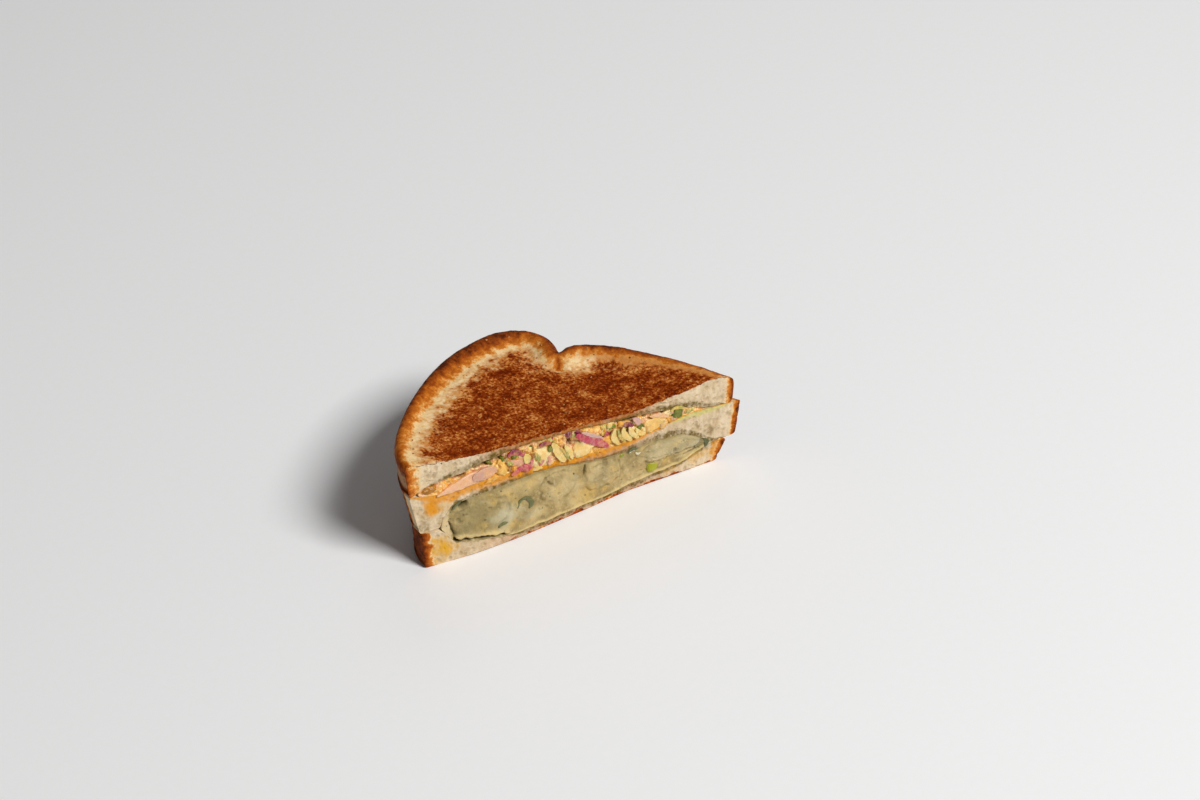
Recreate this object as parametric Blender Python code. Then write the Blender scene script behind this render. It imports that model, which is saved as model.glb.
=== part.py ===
"""Half of a toasted club sandwich, cut corner to corner: three slices of bread and two fillings.

Metres, +Z up. The half lies flat on Z = 0, its cut face looks along -Y, and X runs along the cut.
The design values below are millimetres; body_object turns them into metres.
"""
import math
import random

import bmesh
import bpy
import numpy as np
from mathutils import Vector
from mathutils.geometry import delaunay_2d_cdt

MM = 0.001

# Where the cut face stands, the gap between neighbouring layers, and how far round each place a filling
# looks for the slices' faces, so that flat facets keep the gap on slopes too
CUT_Y = -33.0
GAP = 0.5
GAP_REACH = 3.0

# A half slice from above, y measured from the cut: round the crown to the notch, then the long side
CROWN_SIDE = [(-72.8, 0.0), (-73.1, 5.0), (-71.0, 12.6), (-63.4, 25.0), (-47.6, 42.4), (-28.0, 57.4),
              (-9.0, 65.0), (3.0, 66.0), (12.4, 62.2), (17.2, 55.6), (17.8, 49.6), (16.8, 44.4)]
LONG_SIDE = [(16.8, 44.4), (20.6, 45.8), (27.0, 45.0), (37.0, 39.4), (46.0, 31.4), (59.0, 16.2), (69.8, 0.0)]
PLAN_LEFT = -72.8
PLAN_FAR = 3.0
PLAN_RIGHT = 69.8
PLAN_DEPTH = 66.0

# Each layer's own plan at its lower and its upper face: left end, right end and depth of its cut
BOTTOM_PLANS = ((-67.2, 63.2, 61.5), (-67.8, 66.8, 63.5))
MIDDLE_PLANS = ((-68.4, 71.4, 64.0), (-71.6, 73.2, 65.4))
TOP_PLANS = ((-72.0, 69.4, 65.6), (-72.8, 69.8, 66.0))
LOWER_FILLING_PLAN = (-56.6, 60.5, 53.0)
UPPER_FILLING_PLAN = (-68.0, 56.0, 62.4)

# Heights of the faces between the layers: (x, z) well inside the slice, then z at the crust: left, far, right
BOTTOM_UPPER = ([(-55.0, 8.0), (-42.0, 5.0), (-30.0, 2.8), (15.0, 2.4), (36.0, 4.2), (56.0, 5.6)],
                (16.6, 13.6, 9.8))
MIDDLE_LOWER = ([(-54.0, 25.2), (-14.0, 26.4), (3.0, 22.2), (24.0, 20.4), (32.0, 21.4), (47.0, 19.2),
                 (56.0, 16.6)], (18.0, 15.2, 10.8))
MIDDLE_UPPER = ([(-66.0, 34.0), (-58.0, 31.6), (-31.0, 31.0), (-13.0, 29.0), (3.0, 26.0), (20.0, 25.2),
                 (46.0, 28.2), (60.0, 27.6)], (35.8, 30.8, 26.4))
TOP_LOWER = ([(-66.0, 37.8), (-59.0, 38.4), (-50.0, 38.4), (-42.0, 40.2), (-28.0, 41.2), (-13.0, 40.6),
              (3.0, 38.8), (26.0, 36.2), (46.0, 32.5), (58.0, 30.0)], (36.8, 33.6, 27.4))
TOP_UPPER = ([(-66.0, 49.4), (-59.0, 47.6), (-40.0, 45.4), (-14.0, 43.8), (3.0, 42.0), (26.0, 39.8),
              (54.0, 41.0)], (51.4, 45.6, 40.2))
SMOOTHING = (-3.0, -1.5, 0.0, 1.5, 3.0)

# Strips along the crust: how far the faces stay level, then how wide the belt is in which the fillings
# push the slices apart, each at the left and right end
LOWER_LEVEL = (12.5, 4.0)
LOWER_BELT = (7.0, 17.0)
UPPER_LEVEL = (1.0, 3.0)
UPPER_BELT = (5.0, 14.0)

# The bottom slice and the filling on it stand forward of the cut plane on the left: x and forward y
CUT_BULGE = [(-68.0, 0.3), (-46.0, 2.5), (-28.0, 2.6), (4.0, 0.7), (22.0, -0.9), (58.0, 0.0)]

# Rounding of the slices' edges and of the fillings' blunt edges
TOP_ROUNDING = 4.6
PRESSED_ROUNDING = 1.4
BASE_ROUNDING = 1.6
UPPER_FILLING_ROUNDING = 2.5
LOWER_FILLING_ROUNDING = 4.5
# The largest share of a layer's height that one rounded edge takes
ROUNDING_SHARE = 0.44

# Facet sizes
EDGE_STEP = 4.6
CUT_STEP = 3.0
INNER_STEP = 6.5
LATTICE_REACH = 78.0
LATTICE_START = 0.7
LATTICE_MARGIN = 0.55
RING_START = 0.6
SLICE_RINGS = (0.9, 2.8, 6.5, 10.5, 14.5)
LOWER_FILLING_RINGS = (1.0, 3.0, 6.0)
UPPER_FILLING_RINGS = (1.6,)
RING_TOLERANCE = 0.88

# Chunks of the lower filling on its cut face: spacing, how proud a chunk stands and how deep a crevice is
CHUNK_SPACING = 11.0
CHUNK_JITTER = 3.0
CHUNK_ROWS = 4
CHUNK_COLUMNS = 13
CHUNK_ROW_SPACING = 0.75
CHUNK_PROUD = 0.9
CREVICE_DEPTH = 1.3
CREVICE_WIDTH = 4.5
RELIEF_START = 8.0
LOWER_CUT_STEP = 2.4
LOWER_CUT_ROWS = 8
LOWER_CUT_INSET = 0.3

# Upper filling: its core lies behind the cut by this much, and the pieces fill it out
UPPER_CORE_INSET = 0.8
# Strips that show on the cut: x and z of the middle, length, width, slope in degrees, bend
CUT_STRIPS = [(-47.5, 34.0, 24.0, 3.6, 11.0, 0.6), (-29.0, 39.8, 8.5, 2.0, -8.0, 1.0),
              (-18.5, 36.6, 11.0, 2.2, -35.0, 1.4), (-12.0, 31.0, 12.0, 2.2, 12.0, -1.2),
              (-7.0, 35.2, 11.0, 2.0, -52.0, 0.8), (7.2, 32.6, 15.0, 3.2, -42.0, 0.8),
              (20.0, 29.4, 15.0, 2.2, -8.0, -1.6), (19.0, 33.6, 12.0, 2.0, -25.0, 1.2),
              (33.0, 32.2, 10.0, 2.0, -20.0, 1.0)]
# Round pieces and dice that show on the cut: x, z and size
CUT_DICE = [(-22.8, 31.2, 4.6), (-63.0, 35.2, 2.8), (-56.5, 34.0, 2.4), (-16.0, 33.6, 3.4), (-1.2, 31.4, 5.4),
            (3.6, 28.4, 3.6), (26.0, 33.0, 4.4), (32.5, 29.2, 4.2), (36.5, 28.6, 3.0), (44.0, 30.5, 3.4),
            (-33.0, 35.0, 3.2), (-27.5, 34.6, 3.0), (-38.0, 39.0, 2.6), (12.2, 29.0, 3.0)]
STRIP_THICKNESS = 2.4
STRIP_SIDES = 6
STRIP_TAPER = 0.75
STRIP_SECTIONS = 6
PROUD_OF_CUT = 0.7
# How dice are stretched along x, y and z, how uneven their corners are, and how deep they sit
DICE_STRETCH = ((0.9, 1.25), (0.75, 0.95), (0.8, 1.0))
DICE_UNEVEN = (0.9, 1.12)
DICE_DEPTH = 0.42
SQUEEZE = 4.0
SHORTEST_EDGE = 0.01
SHARP_ANGLE = 40.0
# Pieces along the far edge, where the filling reaches towards the crust
EDGE_PIECES = 28
EDGE_PIECE_SIZE = (2.2, 3.2)
RANDOM_SEED = 7


def smooth_path(points, step):
    """Points about a step apart on a smooth curve through the given points."""
    points = [np.array(point) for point in points]
    path = [points[0]]
    for index in range(len(points) - 1):
        before = points[max(index - 1, 0)]
        start, end = points[index], points[index + 1]
        after = points[min(index + 2, len(points) - 1)]
        length = np.linalg.norm(end - start)
        leave = (end - before) / max(np.linalg.norm(end - before), 1e-6) * length
        arrive = (after - start) / max(np.linalg.norm(after - start), 1e-6) * length
        pieces = max(1, round(length / step))
        for t in np.linspace(0.0, 1.0, pieces + 1)[1:]:
            path.append((2 * t**3 - 3 * t**2 + 1) * start + (t**3 - 2 * t**2 + t) * leave
                        + (3 * t**2 - 2 * t**3) * end + (t**3 - t**2) * arrive)
    return np.array(path)


def crust_path(plan, step):
    """The crust of a half slice as a path from the left to the right end of its cut."""
    crown = smooth_path(CROWN_SIDE, step)
    side = smooth_path(LONG_SIDE, step)
    path = np.concatenate([crown, side[1:]])
    left, right, depth = plan
    scale = (right - left) / (PLAN_RIGHT - PLAN_LEFT)
    path[:, 0] = left + (path[:, 0] - PLAN_LEFT) * scale
    path[:, 1] = path[:, 1] * depth / PLAN_DEPTH + CUT_Y
    return path


def distance_to(path, x, y):
    """Distance from each (x, y) to an open path."""
    points = np.stack([np.ravel(x), np.ravel(y)], axis=1)
    best = np.full(len(points), np.inf)
    for start, end in zip(path[:-1], path[1:]):
        along = end - start
        t = np.clip((points - start) @ along / (along @ along), 0.0, 1.0)
        best = np.minimum(best, np.linalg.norm(points - start - t[:, None] * along, axis=1))
    return best.reshape(np.shape(x))


def inside(path, x, y):
    """Whether each (x, y) lies between the path and the cut."""
    crossings = np.zeros(np.shape(x), dtype=int)
    for start, end in zip(path, np.roll(path, -1, axis=0)):
        spans = (start[1] > y) != (end[1] > y)
        rise = end[1] - start[1] if end[1] != start[1] else 1e-9
        crossings += spans & (x < start[0] + (y - start[1]) / rise * (end[0] - start[0]))
    return crossings % 2 == 1


COMMON_CRUST = crust_path(TOP_PLANS[1], EDGE_STEP)


def smoothstep(t):
    """Zero to one with level ends."""
    t = np.clip(t, 0.0, 1.0)
    return t * t * (3.0 - 2.0 * t)


def profile(points, x):
    """Height or depth at x on a smoothed line through a few points."""
    xs, values = zip(*points)
    return np.mean([np.interp(x + shift, xs, values) for shift in SMOOTHING], axis=0)


def interface(face, x, y):
    """Height of a face between two layers at each (x, y)."""
    core, rim_heights = face
    lower = face in (BOTTOM_UPPER, MIDDLE_LOWER)
    ends = [PLAN_LEFT, PLAN_RIGHT]
    rim = np.interp(x, [PLAN_LEFT, PLAN_FAR, PLAN_RIGHT], rim_heights)
    level = np.interp(x, ends, LOWER_LEVEL if lower else UPPER_LEVEL)
    belt = np.interp(x, ends, LOWER_BELT if lower else UPPER_BELT)
    reach = distance_to(COMMON_CRUST, x, y) * inside(COMMON_CRUST, x, np.maximum(y, CUT_Y + 0.01))
    return rim + (profile(core, x) - rim) * smoothstep((reach - level) / belt)


def fillet(distance, radius):
    """How far a rounded edge of the given radius falls away at a distance from the edge."""
    short = np.clip(radius - distance, 0.0, radius)
    return radius - np.sqrt(np.maximum(radius**2 - short**2, 0.0))


def plan_mesh(path, cut_step, ring_distances, inner_step):
    """Triangles over a plan: its rim vertices first, in order, then rings and an inner lattice."""
    left, right = path[0], path[-1]
    pieces = max(2, round((right[0] - left[0]) / cut_step))
    cut = [(x, CUT_Y) for x in np.linspace(right[0], left[0], pieces + 1)[1:-1]]
    rim = [tuple(point) for point in path] + cut
    tangents = np.gradient(path, axis=0)
    normals = np.stack([tangents[:, 1], -tangents[:, 0]], axis=1)
    normals /= np.linalg.norm(normals, axis=1)[:, None]
    extra = []
    for distance in ring_distances:
        ring = path + normals * distance
        clear = distance_to(path, ring[:, 0], ring[:, 1]) > RING_TOLERANCE * distance
        clear &= (ring[:, 1] > CUT_Y + RING_START) & inside(path, ring[:, 0], ring[:, 1])
        extra += [tuple(point) for point in ring[clear]]
    row_step = inner_step * math.sqrt(3.0) / 2.0
    margin = max(ring_distances) + LATTICE_MARGIN * inner_step
    for row, y in enumerate(np.arange(CUT_Y + LATTICE_START * inner_step, CUT_Y + PLAN_DEPTH, row_step)):
        xs = np.arange(-LATTICE_REACH, LATTICE_REACH, inner_step) + (row % 2) * inner_step / 2.0
        ys = np.full(len(xs), y)
        keep = inside(path, xs, ys) & (distance_to(path, xs, ys) > margin)
        extra += [(x, y) for x in xs[keep]]
    points = [Vector(point) for point in rim + extra]
    edges = [(i, (i + 1) % len(rim)) for i in range(len(rim))]
    verts, _, faces, _, _, _ = delaunay_2d_cdt(points, edges, [], 1, 1e-5)
    return np.array([tuple(v) for v in verts]), faces, len(path), len(rim)


def layer_body(plans, under, over, rounding_under, rounding_over, cut_rows=1, cut_step=CUT_STEP,
               rings=SLICE_RINGS, relief=None):
    """A closed body between two height functions over a lower and an upper plan.

    relief gives the depth of the cut face at x and the share of its height.
    """
    path = crust_path(plans[1], EDGE_STEP)
    flat, faces, path_count, rim_count = plan_mesh(path, cut_step, rings, INNER_STEP)
    edge = distance_to(path, flat[:, 0], flat[:, 1])
    (low_left, low_right, low_depth), (left, right, depth) = plans
    x, y = flat[:, 0], flat[:, 1]
    low_x = low_left + (x - left) * (low_right - low_left) / (right - left)
    low_y = CUT_Y + (y - CUT_Y) * low_depth / depth
    low, high = under(low_x, low_y), over(x, y)
    room = ROUNDING_SHARE * (high - low)
    low = low + fillet(edge, np.minimum(rounding_under, room))
    high = high - fillet(edge, np.minimum(rounding_over, room))
    ends = np.stack([np.stack([low_x, low_y, low], axis=1), np.stack([x, y, high], axis=1)])
    mesh = bmesh.new()

    def vertex(index, share):
        place = ends[0, index] * (1.0 - share) + ends[1, index] * share
        if relief is not None and (index >= path_count - 1 or index == 0) and index < rim_count:
            place[1] += relief(place[0], place[2], share)
        return mesh.verts.new(place)

    lower = [vertex(i, 0.0) for i in range(len(flat))]
    upper = [vertex(i, 1.0) for i in range(len(flat))]
    for face in faces:
        corners = list(face)
        turn = flat[corners[1]] - flat[corners[0]]
        other = flat[corners[2]] - flat[corners[0]]
        if turn[0] * other[1] - turn[1] * other[0] < 0.0:
            corners.reverse()
        mesh.faces.new([upper[i] for i in corners])
        mesh.faces.new([lower[i] for i in reversed(corners)])
    columns = [[lower[i]] + [vertex(i, row / cut_rows) for row in range(1, cut_rows)] + [upper[i]]
               for i in range(rim_count)]
    for i in range(rim_count):
        here, there = columns[i], columns[(i + 1) % rim_count]
        for row in range(cut_rows):
            mesh.faces.new([here[row], here[row + 1], there[row + 1], there[row]])
    bmesh.ops.triangulate(mesh, faces=mesh.faces)
    return mesh


def body_object(name, mesh, colour, roughness):
    """Turn a mesh in millimetres into a named object in metres with its own material."""
    bmesh.ops.scale(mesh, vec=(MM, MM, MM), verts=mesh.verts)
    data = bpy.data.meshes.new(name)
    mesh.to_mesh(data)
    mesh.free()
    data.shade_smooth()
    data.set_sharp_from_angle(angle=math.radians(SHARP_ANGLE))
    thing = bpy.data.objects.new(name, data)
    bpy.context.collection.objects.link(thing)
    material = bpy.data.materials.new(name)
    material.use_nodes = True
    shader = material.node_tree.nodes["Principled BSDF"]
    shader.inputs["Base Color"].default_value = (*colour, 1.0)
    shader.inputs["Roughness"].default_value = roughness
    shader.inputs["Metallic"].default_value = 0.0
    data.materials.append(material)
    return thing


def ground(x, y):
    """The flat face that the half lies on."""
    return np.zeros(np.shape(x))


def face_height(face):
    """A height function for one of the named faces."""
    return lambda x, y: interface(face, x, y)


def clear_height(face, worst, gap):
    """A height function that keeps a gap to the worst height, max or min, that a face has nearby."""
    around = [(0.0, 0.0), (GAP_REACH, 0.0), (-GAP_REACH, 0.0), (0.0, GAP_REACH), (0.0, -GAP_REACH)]
    return lambda x, y: worst([interface(face, x + dx, y + dy) for dx, dy in around], axis=0) + gap


def bulge(x, z, share):
    """Depth of the bottom slice's cut face."""
    return -float(profile(CUT_BULGE, x))


def make_slices():
    """The three slices of bread."""
    bottom = layer_body(BOTTOM_PLANS, ground, face_height(BOTTOM_UPPER), BASE_ROUNDING, PRESSED_ROUNDING,
                        relief=bulge)
    body_object("bread_bottom", bottom, (0.62, 0.42, 0.22), 0.85)
    middle = layer_body(MIDDLE_PLANS, face_height(MIDDLE_LOWER), face_height(MIDDLE_UPPER),
                        PRESSED_ROUNDING, PRESSED_ROUNDING)
    body_object("bread_middle", middle, (0.74, 0.62, 0.44), 0.88)
    top = layer_body(TOP_PLANS, face_height(TOP_LOWER), face_height(TOP_UPPER),
                     PRESSED_ROUNDING, TOP_ROUNDING)
    body_object("bread_top", top, (0.46, 0.22, 0.09), 0.8)


def chunk_relief(x, z, share):
    """Depth of the lower filling's cut face: proud chunks with crevices between them."""
    rng = random.Random(RANDOM_SEED)
    distances = []
    for row in range(CHUNK_ROWS):
        for column in range(CHUNK_COLUMNS):
            step = column + 0.5 * (row % 2) - 0.5 * CHUNK_COLUMNS
            centre_x = CHUNK_SPACING * step + rng.uniform(-CHUNK_JITTER, CHUNK_JITTER)
            centre_z = CHUNK_ROW_SPACING * CHUNK_SPACING * row + rng.uniform(-CHUNK_JITTER, CHUNK_JITTER)
            distances.append((math.hypot(x - centre_x, z - centre_z), rng.uniform(0.0, 1.0)))
    distances.sort()
    (nearest, lift), (second, _) = distances[:2]
    crevice = max(0.0, 1.0 - (second - nearest) / CREVICE_WIDTH)
    chunks = (CREVICE_DEPTH + CHUNK_PROUD) * crevice - CHUNK_PROUD * lift
    clear_of_bread = min(1.0, RELIEF_START * share * (1.0 - share))
    forward = (1.0 - share) * float(profile(CUT_BULGE, x))
    return LOWER_CUT_INSET + chunks * clear_of_bread - forward


def make_lower_filling():
    """The mashed potato filling between the bottom and the middle slice."""
    mesh = layer_body((LOWER_FILLING_PLAN, LOWER_FILLING_PLAN), clear_height(BOTTOM_UPPER, np.max, GAP),
                      clear_height(MIDDLE_LOWER, np.min, -GAP), LOWER_FILLING_ROUNDING,
                      LOWER_FILLING_ROUNDING, cut_rows=LOWER_CUT_ROWS, cut_step=LOWER_CUT_STEP,
                      rings=LOWER_FILLING_RINGS, relief=chunk_relief)
    body_object("potato_filling", mesh, (0.52, 0.46, 0.27), 0.6)


def strip_piece(centre, length, width, slope, bend):
    """A bent shred with a flattened six-sided section, lying along the cut face."""
    mesh = bmesh.new()
    sections = []
    turn = math.radians(slope)
    for t in np.linspace(-1.0, 1.0, STRIP_SECTIONS):
        along = 0.5 * length * t
        across = bend * (1.0 - t * t)
        taper = math.sqrt(1.0 - STRIP_TAPER * t**4)
        loop = []
        for corner in range(STRIP_SIDES):
            angle = 2.0 * math.pi * (corner + 0.5) / STRIP_SIDES
            side = across + width * taper * math.sin(angle) / math.sqrt(3.0)
            depth = 0.5 * STRIP_THICKNESS * taper * math.cos(angle)
            loop.append(mesh.verts.new((centre[0] + along * math.cos(turn) - side * math.sin(turn),
                                        centre[1] + depth,
                                        centre[2] + along * math.sin(turn) + side * math.cos(turn))))
        sections.append(loop)
    for first, second in zip(sections[:-1], sections[1:]):
        for corner in range(STRIP_SIDES):
            after = (corner + 1) % STRIP_SIDES
            mesh.faces.new([first[corner], first[after], second[after], second[corner]])
    mesh.faces.new(list(reversed(sections[0])))
    mesh.faces.new(sections[-1])
    bmesh.ops.recalc_face_normals(mesh, faces=mesh.faces)
    return mesh


def dice_piece(centre, size, rng):
    """A small chunk with blunt corners, turned at random."""
    mesh = bmesh.new()
    bmesh.ops.create_icosphere(mesh, subdivisions=1, radius=0.5 * size)
    stretch = [rng.uniform(*limits) for limits in DICE_STRETCH]
    spin = rng.uniform(0.0, math.pi)
    for vert in mesh.verts:
        uneven = rng.uniform(*DICE_UNEVEN)
        x, y, z = (vert.co[axis] * stretch[axis] * uneven for axis in range(3))
        vert.co = (centre[0] + x * math.cos(spin) - z * math.sin(spin), centre[1] + y,
                   centre[2] + x * math.sin(spin) + z * math.cos(spin))
    return mesh


def room_between_slices(x, y):
    """Lowest and highest z that the upper filling may take at (x, y)."""
    place = (np.array([x]), np.array([y]))
    low = clear_height(MIDDLE_UPPER, np.max, GAP)(*place)
    high = clear_height(TOP_LOWER, np.min, -GAP)(*place)
    return float(low[0]), float(high[0])


def squeeze_between_slices(mesh):
    """Press a piece smoothly into the room between the two slices."""
    for vert in mesh.verts:
        low, high = room_between_slices(vert.co.x, vert.co.y)
        half = 0.5 * (high - low)
        reach = (vert.co.z - 0.5 * (low + high)) / half
        vert.co.z = 0.5 * (low + high) + half * reach / (1.0 + abs(reach) ** SQUEEZE) ** (1.0 / SQUEEZE)


def upper_filling_pieces():
    """The shreds and dice that show on the cut and along the far edge."""
    rng = random.Random(RANDOM_SEED)
    pieces = []
    for x, z, length, width, slope, bend in CUT_STRIPS:
        centre = (x, CUT_Y - PROUD_OF_CUT + 0.5 * STRIP_THICKNESS, z)
        pieces.append(strip_piece(centre, length, width, slope, bend))
    for x, z, size in CUT_DICE:
        pieces.append(dice_piece((x, CUT_Y - PROUD_OF_CUT + DICE_DEPTH * size, z), size, rng))
    edge = crust_path(UPPER_FILLING_PLAN, EDGE_STEP)
    for place in np.linspace(0.04, 0.96, EDGE_PIECES):
        x, y = edge[round(place * (len(edge) - 1))]
        size = rng.uniform(*EDGE_PIECE_SIZE)
        low, high = room_between_slices(x, y)
        if high - low > 0.5 * size:
            pieces.append(dice_piece((x, y, 0.5 * (low + high)), size, rng))
    return pieces


def largest_island(mesh):
    """Drop every loose scrap and sealed hollow, so one closed body is left."""
    unseen = set(mesh.verts)
    islands = []
    while unseen:
        island, queue = set(), [unseen.pop()]
        while queue:
            vert = queue.pop()
            island.add(vert)
            for edge in vert.link_edges:
                other = edge.other_vert(vert)
                if other in unseen:
                    unseen.remove(other)
                    queue.append(other)
        islands.append(island)
    keep = max(islands, key=len)
    bmesh.ops.delete(mesh, geom=[vert for vert in mesh.verts if vert not in keep], context="VERTS")


def make_upper_filling():
    """The shredded filling between the middle and the top slice: a core with its pieces fused on."""
    core = layer_body((UPPER_FILLING_PLAN, UPPER_FILLING_PLAN), clear_height(MIDDLE_UPPER, np.max, GAP),
                      clear_height(TOP_LOWER, np.min, -GAP), UPPER_FILLING_ROUNDING,
                      UPPER_FILLING_ROUNDING, rings=UPPER_FILLING_RINGS,
                      relief=lambda x, z, share: UPPER_CORE_INSET)
    filling = body_object("slaw_filling", core, (0.85, 0.6, 0.42), 0.5)
    loose = bpy.data.collections.new("pieces")
    bpy.context.scene.collection.children.link(loose)
    for number, piece in enumerate(upper_filling_pieces()):
        squeeze_between_slices(piece)
        bmesh.ops.scale(piece, vec=(MM, MM, MM), verts=piece.verts)
        data = bpy.data.meshes.new(f"piece_{number}")
        piece.to_mesh(data)
        piece.free()
        loose.objects.link(bpy.data.objects.new(f"piece_{number}", data))
    union = filling.modifiers.new("pieces", "BOOLEAN")
    union.operation = "UNION"
    union.operand_type = "COLLECTION"
    union.collection = loose
    union.solver = "EXACT"
    joined = bpy.data.meshes.new_from_object(filling.evaluated_get(bpy.context.evaluated_depsgraph_get()))
    filling.modifiers.clear()
    mesh = bmesh.new()
    mesh.from_mesh(joined)
    largest_island(mesh)
    bmesh.ops.dissolve_degenerate(mesh, dist=SHORTEST_EDGE * MM, edges=mesh.edges)
    bmesh.ops.triangulate(mesh, faces=mesh.faces)
    mesh.to_mesh(filling.data)
    mesh.free()
    for thing in list(loose.objects):
        bpy.data.objects.remove(thing, do_unlink=True)
    bpy.data.collections.remove(loose)


def clear_scene():
    """Remove what the scene holds."""
    for thing in list(bpy.context.scene.objects):
        bpy.data.objects.remove(thing, do_unlink=True)


def main():
    """Build the five layers of the half."""
    clear_scene()
    make_slices()
    make_lower_filling()
    make_upper_filling()


main()
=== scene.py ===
"""Looks of one half of a toasted club sandwich: three slices of bread, mashed potato and a shredded filling.

Design values are millimetres in the row frame; make_object turns them into metres. The half lies on Z = 0,
its cut face looks along -Y, and X runs along the cut.
"""

import math
import random

import bmesh
import bpy
import numpy as np
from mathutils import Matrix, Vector, noise
from mathutils.geometry import delaunay_2d_cdt


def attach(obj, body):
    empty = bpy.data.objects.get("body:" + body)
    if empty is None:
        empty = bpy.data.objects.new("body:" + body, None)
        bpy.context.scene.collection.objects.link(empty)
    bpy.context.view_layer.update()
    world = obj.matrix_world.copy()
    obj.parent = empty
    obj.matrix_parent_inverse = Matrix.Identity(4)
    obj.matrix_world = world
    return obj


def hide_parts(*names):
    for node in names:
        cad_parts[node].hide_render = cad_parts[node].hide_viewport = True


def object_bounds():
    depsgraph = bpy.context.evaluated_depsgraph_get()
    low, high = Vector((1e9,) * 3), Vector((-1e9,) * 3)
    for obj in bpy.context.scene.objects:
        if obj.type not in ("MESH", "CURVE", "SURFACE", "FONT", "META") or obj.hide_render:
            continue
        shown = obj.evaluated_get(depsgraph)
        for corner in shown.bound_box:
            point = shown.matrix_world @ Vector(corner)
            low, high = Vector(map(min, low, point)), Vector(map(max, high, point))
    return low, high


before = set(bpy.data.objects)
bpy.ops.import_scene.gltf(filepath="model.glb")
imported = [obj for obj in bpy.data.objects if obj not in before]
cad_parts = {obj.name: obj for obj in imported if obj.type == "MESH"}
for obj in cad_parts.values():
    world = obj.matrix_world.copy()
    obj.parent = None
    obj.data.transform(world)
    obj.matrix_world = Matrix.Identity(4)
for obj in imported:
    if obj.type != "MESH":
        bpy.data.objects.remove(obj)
cad_low, cad_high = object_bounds()

MM = 0.001

# The cut plane, and a half slice from above with y measured from the cut: the crown, then the long side
CUT_Y = -33.0
CROWN_SIDE = [(-72.8, 0), (-73.1, 5), (-71, 12.6), (-63.4, 25), (-47.6, 42.4), (-28, 57.4), (-9, 65), (3, 66),
              (12.4, 62.2), (17.2, 55.6), (17.8, 49.6), (16.8, 44.4)]
LONG_SIDE = [(16.8, 44.4), (20.6, 45.8), (27, 45), (37, 39.4), (46, 31.4), (59, 16.2), (69.8, 0)]
PLAN_LEFT = -72.8
PLAN_FAR = 3.0
PLAN_RIGHT = 69.8
PLAN_DEPTH = 66.0

# Each layer's own plan at its lower and its upper face: left end, right end and depth of its cut
BOTTOM_PLANS = ((-67.2, 63.2, 61.5), (-67.8, 66.8, 63.5))
MIDDLE_PLANS = ((-68.4, 71.4, 64), (-71.6, 73.2, 65.4))
TOP_PLANS = ((-72, 69.4, 65.6), (-72.8, 69.8, 66))
POTATO_PLAN = (-59.6, 60.5, 53)
SLAW_PLAN = (-68, 56, 62.4)

# Heights of the faces between the layers: (x, z) well inside the slice, then z at the crust: left, far, right
BOTTOM_UPPER = ([(-55, 8), (-42, 5), (-30, 2.8), (15, 2.4), (36, 4.2), (56, 5.6)], (16.6, 13.6, 9.8))
MIDDLE_LOWER = ([(-54, 25.2), (-14, 26.4), (3, 22.2), (24, 20.4), (32, 21.4), (47, 19.2), (56, 16.6)],
                (18, 15.2, 10.8))
MIDDLE_UPPER = ([(-66, 34), (-58, 31.6), (-31, 31), (-13, 29), (3, 26), (20, 25.2), (46, 28.2), (60, 27.6)],
                (35.8, 30.8, 26.4))
TOP_LOWER = ([(-66, 37.8), (-59, 38.4), (-50, 38.4), (-42, 40.2), (-28, 41.2), (-13, 40.6), (3, 38.8),
              (26, 36.2), (46, 32.5), (58, 30)], (36.8, 33.6, 27.4))
TOP_UPPER = ([(-66, 49.4), (-59, 47.6), (-40, 45.4), (-14, 43.8), (3, 42), (26, 39.8), (54, 41)],
             (51.4, 45.6, 40.2))
SMOOTHING = (-3, -1.5, 0, 1.5, 3)

# Strips along the crust: how far the faces stay level, then the belt in which the fillings push them apart
LOWER_LEVEL = (12.5, 4)
LOWER_BELT = (7, 17)
UPPER_LEVEL = (1, 3)
UPPER_BELT = (5, 14)

# How far the bottom slice and the filling on it stand forward of the cut plane: (x, distance)
CUT_BULGE = [(-68, 0.3), (-46, 2.5), (-28, 2.6), (4, 0.7), (22, -0.9), (58, 0)]
BULGE_FADE = 9.0

# Rounding of the edges, at most a share of the height, and how far a crust is tucked in at its edges
TOP_ROUNDING = 4.6
PRESSED_ROUNDING = 1.4
BASE_ROUNDING = 1.6
SLAW_ROUNDING = 2.5
POTATO_ROUNDING = 1.6
ROUNDING_SHARE = 0.44
CRUST_TUCK = 0.7

# Mesh detail
GUIDE_STEP = 1.6
CRUST_STEP = 0.55
CUT_STEP = 0.32
SHOWN_STEP = 0.45
BASE_STEP = 1.4
HIDDEN_STEP = 2.8
EDGE_BAND = 2.6
BAND_STEP = 0.9
SLICE_ROWS = 40
POTATO_ROWS = 56
SLAW_ROWS = 32
RING_SHARES = (0.02, 0.07, 0.15, 0.26, 0.4, 0.56, 0.74, 0.94)
RING_TOLERANCE = 0.88
RIM_CLEARANCE = 0.3
LINE_STEP = 0.8
LATTICE_REACH = 78.0

# Gap between a filling and the bread round it, a gap that closes between two slices, and how uneven the
# faces between the layers are
TOUCH = 0.02
SETTLED_GAP = 5.0
UNEVEN = 0.38
UNEVEN_SIZE = 3.6


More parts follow.
